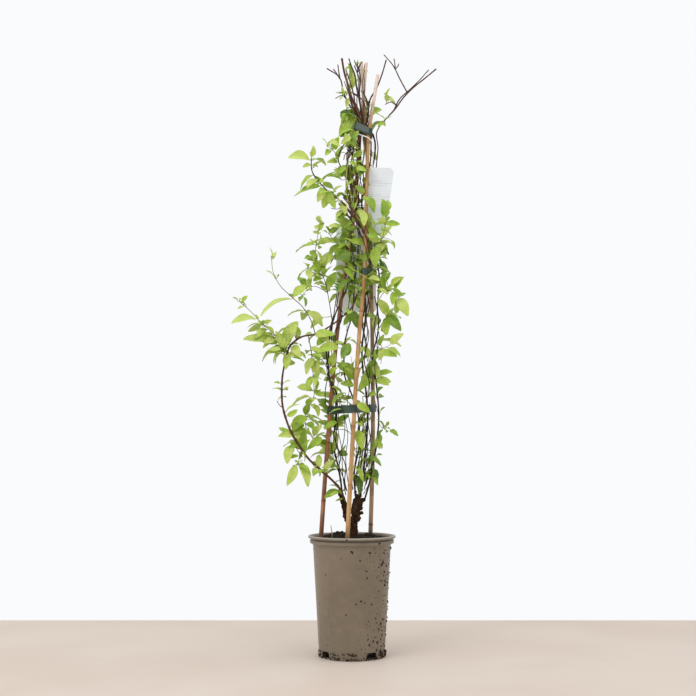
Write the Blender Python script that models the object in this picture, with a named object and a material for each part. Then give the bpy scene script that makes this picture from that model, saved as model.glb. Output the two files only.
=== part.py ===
"""Potted climbing honeysuckle on a wigwam of three bamboo canes, in a nursery container.

Metres, +Z up. The origin is the middle of the pot's underside, X runs to the right and Y to the back.
The stems' and leaves' places are written in millimetres, as read off the plant, and scaled by MM.
"""

import math
import random

import bpy
from mathutils import Vector
from mathutils.bvhtree import BVHTree

MM = 0.001
GAP = 0.45 * MM

POT_SIDES = 23
NOTCH_ANGLES = (-53.5, 36.5, 126.5, 216.5)
NOTCH_BOTTOM = 30 * MM
NOTCH_TOP = 21 * MM
NOTCH_HEIGHT = 14.5 * MM
NOTCH_INNER = 49.5 * MM
NOTCH_OUTER = 70 * MM
DRAIN_HOLES = 6
DRAIN_RADIUS = 4.5 * MM
DRAIN_CIRCLE = 37 * MM
DRAIN_TURN = 20
DRAIN_SIDES = 10
DRAIN_LOW = 5 * MM
DRAIN_HIGH = 12.3 * MM

SOIL_TOP = 225 * MM
SOIL_FLOOR = 14.6 * MM
SOIL_LUMP = 5 * MM

CANE_RADIUS = 4.1 * MM
CANE_JOINT = 112 * MM
FIRST_JOINTS = {"cane_left": 38 * MM, "cane_front": 69 * MM, "cane_right": 100 * MM}
JOINT_SWELL = 1.16
JOINT_HALF = 1.5 * MM
HOLE_CLEARANCE = 1.2 * MM
TRUNK_CLEARANCE = 0.9 * MM
STRAW_RADIUS = 0.9 * MM
STRAW_HOLE = 1.5 * MM

BAND_THICKNESS = 1.0 * MM
BAND_SLACK = 1.5 * MM

CARD_THICKNESS = 0.8 * MM
STRING_RADIUS = 0.75 * MM

BLADE_THICKNESS = 0.7 * MM
STEM_CLEARANCE = 1.2 * MM
STEM_SPACING = 29 * MM

for old in list(bpy.data.objects):
    bpy.data.objects.remove(old)


def material(name, colour, roughness=0.6, metallic=0.0):
    made = bpy.data.materials.new(name)
    made.use_nodes = True
    shader = made.node_tree.nodes["Principled BSDF"]
    shader.inputs["Base Color"].default_value = (*colour, 1.0)
    shader.inputs["Roughness"].default_value = roughness
    shader.inputs["Metallic"].default_value = metallic
    made.diffuse_color = (*colour, 1.0)
    return made


TAUPE_PLASTIC = material("taupe_plastic", (0.21, 0.165, 0.12), 0.45)
COMPOST = material("compost", (0.035, 0.025, 0.014), 0.95)
OLD_WOOD = material("old_wood", (0.045, 0.024, 0.014), 0.8)
BAMBOO = material("bamboo", (0.55, 0.34, 0.16), 0.5)
TIE_PLASTIC = material("tie_plastic", (0.06, 0.10, 0.06), 0.4)
WHITE_CARD = material("white_card", (0.72, 0.76, 0.74), 0.35)
WHITE_STRING = material("white_string", (0.75, 0.75, 0.72), 0.8)
STRAW = material("straw", (0.45, 0.40, 0.30), 0.8)
FOLIAGE = material("foliage", (0.20, 0.33, 0.06), 0.5)


def mesh_object(name, points, faces, finish):
    mesh = bpy.data.meshes.new(name)
    mesh.from_pydata([tuple(point) for point in points], [], faces)
    mesh.validate()
    made = bpy.data.objects.new(name, mesh)
    bpy.context.scene.collection.objects.link(made)
    mesh.materials.append(finish)
    return made


def smooth(made, angle=35):
    made.data.shade_smooth()
    made.data.set_sharp_from_angle(angle=math.radians(angle))


def cutter(name, points, faces):
    made = mesh_object(name, points, faces, COMPOST)
    made.hide_render = True
    made.display_type = "WIRE"
    return made


def cut(target, tools, solver="EXACT"):
    """Cuts each tool's shape out of the target and removes the tools."""
    for tool in tools:
        step = target.modifiers.new("cut", "BOOLEAN")
        step.operation = "DIFFERENCE"
        step.solver = solver
        step.object = tool
    apply_modifiers(target)
    for tool in tools:
        bpy.data.objects.remove(tool)


def apply_modifiers(target):
    graph = bpy.context.evaluated_depsgraph_get()
    graph.update()
    finished = bpy.data.meshes.new_from_object(target.evaluated_get(graph))
    target.modifiers.clear()
    target.data = finished


def join(name, shapes, finish, solver="MANIFOLD"):
    """One body from overlapping shapes, each given as its points and faces."""
    body = mesh_object(name, *shapes[0], finish)
    if len(shapes) == 1:
        return body
    others = bpy.data.collections.new(name + "_repeats")
    bpy.context.scene.collection.children.link(others)
    for points, faces in shapes[1:]:
        piece = mesh_object(name + "_repeat", points, faces, finish)
        bpy.context.scene.collection.objects.unlink(piece)
        others.objects.link(piece)
    step = body.modifiers.new("join", "BOOLEAN")
    step.operation = "UNION"
    step.solver = solver
    step.operand_type = "COLLECTION"
    step.collection = others
    apply_modifiers(body)
    for piece in list(others.objects):
        bpy.data.objects.remove(piece)
    bpy.data.collections.remove(others)
    keep_largest_shell(body)
    return body


def keep_largest_shell(body):
    """Drops loose scraps and fills sealed hollows: only the largest connected shell stays."""
    mesh = body.data
    owner = list(range(len(mesh.vertices)))

    def root_of(index):
        while owner[index] != index:
            owner[index] = owner[owner[index]]
            index = owner[index]
        return index

    for edge in mesh.edges:
        first, second = (root_of(index) for index in edge.vertices)
        owner[first] = second
    counts = {}
    for index in range(len(mesh.vertices)):
        root = root_of(index)
        counts[root] = counts.get(root, 0) + 1
    largest = max(counts, key=counts.get)
    kept = [index for index in range(len(mesh.vertices)) if root_of(index) == largest]
    if len(kept) == len(mesh.vertices):
        return
    place = {index: number for number, index in enumerate(kept)}
    points = [mesh.vertices[index].co.copy() for index in kept]
    faces = [[place[i] for i in face.vertices] for face in mesh.polygons if face.vertices[0] in place]
    finish = mesh.materials[0]
    body.data = bpy.data.meshes.new(body.name)
    body.data.from_pydata(points, [], faces)
    body.data.materials.append(finish)


def curve_through(points, spacing):
    """Evenly spaced points on a smooth curve through hand-placed ones."""
    fixed = [Vector(point) for point in points]
    fixed = [2 * fixed[0] - fixed[1]] + fixed + [2 * fixed[-1] - fixed[-2]]
    fine = []
    for a, b, c, d in zip(fixed, fixed[1:], fixed[2:], fixed[3:]):
        for step in range(8):
            t = step / 8
            fine.append(
                0.5 * (2 * b + (c - a) * t + (2 * a - 5 * b + 4 * c - d) * t * t
                       + (3 * b - a - 3 * c + d) * t ** 3)
            )
    fine.append(fixed[-2])
    return even(fine, spacing)


def even(fine, spacing):
    """The same line with its points about one spacing apart and both ends kept."""
    lengths = [(b - a).length for a, b in zip(fine, fine[1:])]
    total = sum(lengths)
    count = max(2, round(total / spacing))
    made = [fine[0].copy()]
    walked = 0.0
    number = 1
    for a, b, length in zip(fine, fine[1:], lengths):
        while number < count and walked + length >= total * number / count:
            made.append(a.lerp(b, (total * number / count - walked) / max(length, 1e-9)))
            number += 1
        walked += length
    made.append(fine[-1].copy())
    return made


def tube(path, radii, sides):
    """A closed tube with flat ends; its rings turn as little as they can along the path."""
    across = (path[1] - path[0]).orthogonal().normalized()
    points = []
    for index, place in enumerate(path):
        before = path[max(index - 1, 0)]
        after = path[min(index + 1, len(path) - 1)]
        along = (after - before).normalized()
        across = (across - along * across.dot(along)).normalized()
        aside = along.cross(across)
        for side in range(sides):
            turn = 2 * math.pi * side / sides
            points.append(place + (across * math.cos(turn) + aside * math.sin(turn)) * radii[index])
    faces = [list(range(sides - 1, -1, -1))]
    for ring in range(len(path) - 1):
        for side in range(sides):
            following = (side + 1) % sides
            start = ring * sides
            faces.append([start + side, start + following, start + sides + following, start + sides + side])
    faces.append([(len(path) - 1) * sides + side for side in range(sides)])
    return points, faces


def turned(profile, sides):
    """A solid turned round Z from a closed profile of (radius, height) that starts and ends on the axis."""
    points = [Vector((0, 0, profile[0][1]))]
    for radius, height in profile[1:-1]:
        for side in range(sides):
            turn = 2 * math.pi * side / sides
            points.append(Vector((radius * math.cos(turn), radius * math.sin(turn), height)))
    points.append(Vector((0, 0, profile[-1][1])))
    faces = []
    rings = len(profile) - 2
    for side in range(sides):
        following = (side + 1) % sides
        faces.append([0, 1 + following, 1 + side])
        for ring in range(rings - 1):
            start = 1 + ring * sides
            faces.append([start + side, start + following, start + sides + following, start + sides + side])
        start = 1 + (rings - 1) * sides
        faces.append([start + side, start + following, len(points) - 1])
    return points, faces


def prism(outline, low, high):
    """A solid between two heights with the same outline, which runs anticlockwise seen from above."""
    count = len(outline)
    points = [Vector((x, y, low)) for x, y in outline] + [Vector((x, y, high)) for x, y in outline]
    faces = [list(range(count - 1, -1, -1)), list(range(count, 2 * count))]
    faces += [[i, (i + 1) % count, count + (i + 1) % count, count + i] for i in range(count)]
    return points, faces


# Nursery container: a tapered shell with a rolled rim, a groove and a second band under it.
# Its foot has four drainage notches, and the channel behind them has round holes.
POT_PROFILE = (
    (0, 0), (22, 0), (25, 8), (50, 8), (53, 0), (62.5, 0), (63.5, 1.5),
    (75.7, 214), (78.6, 216.6), (81.6, 217.6), (81.6, 223.3), (79, 223.8), (79, 227),
    (85, 227.4), (85, 231), (84, 232), (80, 232), (77, 227),
    (73.7, 211), (61.5, 14), (50, 14), (48.5, 10), (26.5, 10), (23, 2), (0, 2),
)
pot = mesh_object("pot", *turned([(r * MM, z * MM) for r, z in POT_PROFILE], POT_SIDES), TAUPE_PLASTIC)
tools = []
for angle in NOTCH_ANGLES:
    turn = math.radians(angle)
    outward = Vector((math.cos(turn), math.sin(turn), 0))
    aside = Vector((-math.sin(turn), math.cos(turn), 0))
    corners = []
    for reach in (NOTCH_INNER, NOTCH_OUTER):
        for width, height in ((NOTCH_BOTTOM, -1 * MM), (NOTCH_TOP, NOTCH_HEIGHT)):
            corners.append(outward * reach + aside * width / 2 + Vector((0, 0, height)))
            corners.append(outward * reach - aside * width / 2 + Vector((0, 0, height)))
    sides = [[0, 1, 3, 2], [4, 6, 7, 5], [0, 4, 5, 1], [2, 3, 7, 6], [0, 2, 6, 4], [1, 5, 7, 3]]
    tools.append(cutter("notch_cutter", corners, sides))
for number in range(DRAIN_HOLES):
    turn = math.radians(360 * number / DRAIN_HOLES + DRAIN_TURN)
    centre = Vector((math.cos(turn), math.sin(turn))) * DRAIN_CIRCLE
    outline = []
    for side in range(DRAIN_SIDES):
        angle = 2 * math.pi * side / DRAIN_SIDES
        outline.append(centre + Vector((math.cos(angle), math.sin(angle))) * DRAIN_RADIUS)
    tools.append(cutter("drain_cutter", *prism(outline, DRAIN_LOW, DRAIN_HIGH)))
cut(pot, tools)
smooth(pot, 30)

# Three bamboo canes: each leans from its own place in the compost to the tie at the top.
CANES = {
    "cane_left": [
        (-62, -16, 150), (-60, -16, 225), (-41, -15, 492), (-21, -9, 692),
        (0, -2, 822), (17, 8, 1030), (29, 17, 1172),
    ],
    "cane_front": [
        (-10, -62, 150), (-9, -62, 222), (0, -50, 392), (12, -36, 592),
        (25, -24, 752), (30, -14, 942), (35, -9, 1030), (52, 5, 1144),
    ],
    "cane_right": [
        (36, 52, 150), (37, 52, 228), (42, 42, 412), (41, 31, 592),
        (39, 24, 692), (31, 8, 972), (27, 2, 1030), (19, -6, 1168),
    ],
}


def mm_points(points):
    return [Vector(point) * MM for point in points]


def point_at_height(path, height):
    for a, b in zip(path, path[1:]):
        if a.z <= height <= b.z:
            return a.lerp(b, (height - a.z) / (b.z - a.z))
    return path[-1].copy()


CANE_PATHS = {name: curve_through(mm_points(route), 12 * MM) for name, route in CANES.items()}


def cane_solid(path, first_joint):
    """A solid stick, thinner to its top, with a ridge at each joint of the bamboo."""
    places = [path[0]]
    radii = [CANE_RADIUS * 1.04]
    height = path[0].z + first_joint
    while height < path[-1].z - 12 * MM:
        for lift, swell in ((-JOINT_HALF, 1.0), (0, JOINT_SWELL), (JOINT_HALF, 0.95)):
            places.append(point_at_height(path, height + lift))
            radii.append(CANE_RADIUS * swell)
        height += CANE_JOINT
    places.append(path[-1])
    radii.append(CANE_RADIUS * 0.94)
    return tube(places, radii, 6)


for name, path in CANE_PATHS.items():
    smooth(mesh_object(name, *cane_solid(path, FIRST_JOINTS[name]), BAMBOO), 50)


def canes_at(height):
    return [point_at_height(path, height) for path in CANE_PATHS.values()]


def round_canes(centres, reach, count, start=3.0, sweep=360.0):
    """Points on a line drawn tight round some round sticks, seen from above; the angles are in degrees."""
    made = []
    for step in range(count):
        turn = math.radians(start + sweep * step / count)
        way = Vector((math.cos(turn), math.sin(turn), 0))
        outermost = max(centres, key=lambda centre: centre.dot(way))
        made.append(outermost + way * reach)
    return made


def band(name, sticks_at, height, width, fall, count):
    """A flat plastic tie: a thin closed ribbon round the sticks, with a fall from left to right."""
    centres = sticks_at(height)
    middle = sum(centre.x for centre in centres) / len(centres)
    points = []
    for reach in (TIE_REACH, TIE_REACH + BAND_THICKNESS):
        level = round_canes(centres, reach, count)
        for edge in (-0.5, 0.5):
            heights = [height + edge * width - fall * (point.x - middle) for point in level]
            for index, at in enumerate(heights):
                point = round_canes(sticks_at(at), reach, count)[index]
                points.append(Vector((point.x, point.y, at)))
    faces = []
    for i in range(count):
        j = (i + 1) % count
        faces.append([i, count + i, count + j, j])
        faces.append([2 * count + i, 2 * count + j, 3 * count + j, 3 * count + i])
        faces.append([i, j, 2 * count + j, 2 * count + i])
        faces.append([count + i, 3 * count + i, 3 * count + j, count + j])
    made = mesh_object(name, points, faces, TIE_PLASTIC)
    smooth(made, 40)
    return made


TIE_REACH = CANE_RADIUS + BAND_SLACK
BUNDLE_DRAW = 0.13
# Each tie's height, the width of its strip, its fall from left to right and its number of sides.
TOP_TIE = (1031 * MM, 15 * MM, 0.5, 22)
LOW_TIE = (477 * MM, 15 * MM, -0.06, 21)
MIDDLE_TIE = (745 * MM, 13 * MM, 0.05, 16)


def canes_and_stems_at(height):
    """The three canes, and the two thin stems beside them, drawn in to where the strip passes them."""
    canes = canes_at(height)
    stems = [point_at_height(grown[name][0][0], height) for name in ("stem_left", "stem_tall")]
    return canes + [stem.lerp(canes[0], BUNDLE_DRAW) for stem in stems]


def cane_and_stem_at(height):
    return [point_at_height(path, height) for path in (CANE_PATHS["cane_front"], grown["stem_arc"][0][0])]


# White name card: it hangs on a string from the top of the canes, just behind the front one, left blank.
CARD_TOP_LEFT = Vector((35, -6.8, 955)) * MM
CARD_WIDTH = 49 * MM
CARD_HEIGHT = 132 * MM
CARD_CORNER = 7 * MM
CARD_LEAN = math.radians(8)
CARD_HOLE_ACROSS = 6 * MM
CARD_HOLE_DOWN = 7 * MM
CARD_HOLE_RADIUS = 3 * MM
CARD_HOLE_SIDES = 10
across = Vector((math.cos(CARD_LEAN * 0.25), 0, -math.sin(CARD_LEAN * 0.25)))
down = Vector((-math.sin(CARD_LEAN), 0, -math.cos(CARD_LEAN)))


def flat_plate(outline, depth):
    """A plate in an upright plane: its outline runs clockwise seen from the front."""
    count = len(outline)
    points = [point.copy() for point in outline] + [point + Vector((0, depth, 0)) for point in outline]
    faces = [list(range(count - 1, -1, -1)), list(range(count, 2 * count))]
    faces += [[i, (i + 1) % count, count + (i + 1) % count, count + i] for i in range(count)]
    return points, faces


card_outline = [
    CARD_TOP_LEFT,
    CARD_TOP_LEFT + across * (CARD_WIDTH - CARD_CORNER),
    CARD_TOP_LEFT + across * CARD_WIDTH + down * CARD_CORNER,
    CARD_TOP_LEFT + across * CARD_WIDTH + down * CARD_HEIGHT,
    CARD_TOP_LEFT + down * CARD_HEIGHT,
]
label = mesh_object("label", *flat_plate(card_outline, CARD_THICKNESS), WHITE_CARD)
hole_centre = CARD_TOP_LEFT + across * CARD_HOLE_ACROSS + down * CARD_HOLE_DOWN
ring = []
for number in range(CARD_HOLE_SIDES):
    turn = -2 * math.pi * number / CARD_HOLE_SIDES
    edge = Vector((math.cos(turn), 0, math.sin(turn))) * CARD_HOLE_RADIUS
    ring.append(hole_centre + edge - Vector((0, 2 * MM, 0)))
cut(label, [cutter("label_hole_cutter", *flat_plate(ring, 5 * MM))])

# Plain back of a second card, which stands behind the right cane.
TAG_LEFT = -31 * MM
TAG_RIGHT = 48 * MM
TAG_LOW = 670 * MM
TAG_HIGH = 842 * MM
TAG_FRONT = 30.5 * MM
TAG_LEAN = -9.5 * MM
TAG_CORNER = 5 * MM
tag_outline = [
    Vector((TAG_LEFT + TAG_CORNER, TAG_FRONT + TAG_LEAN, TAG_HIGH)),
    Vector((TAG_RIGHT - TAG_CORNER, TAG_FRONT + TAG_LEAN, TAG_HIGH)),
    Vector((TAG_RIGHT, TAG_FRONT + TAG_LEAN, TAG_HIGH - TAG_CORNER)),
    Vector((TAG_RIGHT, TAG_FRONT, TAG_LOW)),
    Vector((TAG_LEFT, TAG_FRONT, TAG_LOW)),
    Vector((TAG_LEFT, TAG_FRONT + TAG_LEAN, TAG_HIGH - TAG_CORNER)),
]
mesh_object("picture_tag", *flat_plate(tag_outline, CARD_THICKNESS), WHITE_CARD)

# White string: round the canes under the top tie, then down beside them and through the card's hole.
STRING_LOOP = 1012 * MM
STRING_FALL = 0.5
STRING_DROP = ((41.5, -15, 1002), (42, -14, 984), (41, -11, 966))
STRING_THROUGH = ((-9.0, 5.0), (-8.3, 1.6), (-6.4, 0.5), (-4.6, 1.6), (-4.2, 5.0), (-4.5, 11.0))
loop_centres = canes_at(STRING_LOOP)
loop_middle = sum(centre.x for centre in loop_centres) / len(loop_centres)
string_route = []
for point in round_canes(loop_centres, CANE_RADIUS + STRING_RADIUS + 0.5 * MM, 9, 100, 240):
    string_route.append(Vector((point.x, point.y, STRING_LOOP - STRING_FALL * (point.x - loop_middle))))
string_path = curve_through(string_route + [Vector(point) * MM for point in STRING_DROP], 8 * MM)
for depth, rise in STRING_THROUGH:
    string_path.append(Vector((hole_centre.x, depth * MM, hole_centre.z + rise * MM)))
string_tube = tube(string_path, [STRING_RADIUS] * len(string_path), 4)
smooth(mesh_object("label_string", *string_tube, WHITE_STRING), 60)

# Woody crown: the old trunk with its knuckle, and a short arm for each stem that grows from it.
STEM_FEET = {
    "stem_arc": ((-13, -6, 296), (-16, -9, 310), 2.3),
    "stem_left": ((-19, 6, 312), (-21, 7, 328), 1.9),
    "stem_middle": ((6, -6, 318), (5, -8, 334), 1.6),
    "stem_tall": ((17, 2, 314), (20, 3, 330), 2.0),
    "stem_right": ((26, 10, 304), (31, 13, 316), 1.8),
}
CROWN = [
    ([(3, -4, 168), (4, -3, 205), (5, -2, 232), (4, -2, 258), (6, -1, 276)], (5.5, 7.5, 8.0, 7.2, 7.5)),
    ([(5, -2, 268), (8, -2, 284), (10, 0, 299), (12, 0, 306)], (6.5, 9.0, 7.5, 4.0)),
    ([(3, -2, 240), (-5, -2, 254), (-11, -1, 268), (-14, 0, 284)], (5.5, 5.8, 5.0, 4.6)),
    ([(12, 0, 284), (20, -3, 283)], (4.5, 3.2)),
]


def foot_of(name):
    start, onward, radius = STEM_FEET[name]
    start = Vector(start) * MM
    way = (Vector(onward) * MM - start).normalized()
    return start, way, radius * MM


SHOULDERS = ((-14, 0, 280), (-14, 0, 280), (9, -1, 296), (11, 0, 297), (11, 0, 290))
crown_shapes = [tube(mm_points(route), [radius * MM for radius in radii], 6) for route, radii in CROWN]
for name, shoulder in zip(STEM_FEET, SHOULDERS):
    start, way, radius = foot_of(name)
    arm = [Vector(shoulder) * MM, start - way * 6 * MM, start - way * GAP]
    crown_shapes.append(tube(arm, [radius * 1.7, radius * 1.35, radius * 1.15], 6))
crown = join("crown", crown_shapes, OLD_WOOD)
smooth(crown, 50)

# Compost: it fills the pot nearly to the rim, with a plain hole for each cane and for the trunk.
# Its side is given as (radius, height over its underside), and its top as the radii of rings of lumps.
SOIL_PROFILE = ((60.9, 0), (72.8, 195), (74.2, 204))
SOIL_RINGS = (72, 56, 39, 20)
SOIL_SIDES = 20
soil_rng = random.Random(7)
soil_points = [Vector((0, 0, SOIL_FLOOR))]
for radius, lift in SOIL_PROFILE:
    for side in range(SOIL_SIDES):
        turn = 2 * math.pi * side / SOIL_SIDES
        place = Vector((math.cos(turn) * radius, math.sin(turn) * radius, lift)) * MM
        soil_points.append(place + Vector((0, 0, SOIL_FLOOR)))


def soil_height(x, y):
    """Heaped a little to the left and the back, and sunk along the left edge."""
    heap = 2.2 * math.sin(x / 19 + 1.0) * math.cos(y / 23 - 0.5) + 1.6 * math.sin(x / 8.3 + y / 11)
    back = 2.5 * max(0, y) / 70
    edge = -5.0 * max(0, (math.hypot(x, y) - 58) / 16) * (1.4 if x < -30 else 0.6)
    return SOIL_TOP / MM + heap + back + edge


for radius in SOIL_RINGS:
    for side in range(SOIL_SIDES):
        turn = 2 * math.pi * (side + soil_rng.uniform(-0.25, 0.25)) / SOIL_SIDES
        x = radius * math.cos(turn)
        y = radius * math.sin(turn)
        lump = soil_rng.uniform(-0.5, 0.5) * SOIL_LUMP / MM
        soil_points.append(Vector((x, y, soil_height(x, y) + lump)) * MM)
soil_points.append(Vector((0, 0, soil_height(0, 0) * MM)))
soil_faces = []
rings = len(SOIL_PROFILE) + len(SOIL_RINGS)
for side in range(SOIL_SIDES):
    following = (side + 1) % SOIL_SIDES
    soil_faces.append([0, 1 + following, 1 + side])
    for number in range(rings - 1):
        start = 1 + number * SOIL_SIDES
        above = start + SOIL_SIDES
        corners = [start + side, start + following, above + following, above + side]
        if number < len(SOIL_PROFILE) - 1:
            soil_faces.append(corners)
        else:
            soil_faces.append([corners[0], corners[1], corners[2]])
            soil_faces.append([corners[0], corners[2], corners[3]])
    start = 1 + (rings - 1) * SOIL_SIDES
    soil_faces.append([start + side, start + following, len(soil_points) - 1])
soil = mesh_object("soil", soil_points, soil_faces, COMPOST)

# A stray straw stands in the compost. Each thing that does so has a hole a little larger than itself.
STRAW_ROUTE = [(-38, 8, 212), (-39, 8, 234), (-41, 7, 250)]
BELOW_FOOT = Vector((0, 0, 0.6 * MM))
straw_path = mm_points(STRAW_ROUTE)
mesh_object("straw", *tube(straw_path, [STRAW_RADIUS, STRAW_RADIUS, 0.8 * STRAW_RADIUS], 5), STRAW)
hole_tools = []
for path in CANE_PATHS.values():
    line = [path[0] - BELOW_FOOT, point_at_height(path, 190 * MM), point_at_height(path, 250 * MM)]
    hole_radius = CANE_RADIUS * JOINT_SWELL + HOLE_CLEARANCE
    hole_tools.append(cutter("cane_hole", *tube(line, [hole_radius] * 3, 9)))
trunk_route, trunk_radii = CROWN[0]
line = mm_points(trunk_route)
line[0] -= BELOW_FOOT
hole_radii = [radius * MM + TRUNK_CLEARANCE for radius in trunk_radii]
hole_tools.append(cutter("trunk_hole", *tube(line, hole_radii, 9)))
line = [straw_path[0] - BELOW_FOOT, straw_path[1], straw_path[2]]
hole_tools.append(cutter("straw_hole", *tube(line, [STRAW_HOLE] * 3, 6)))
cut(soil, hole_tools)

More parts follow.
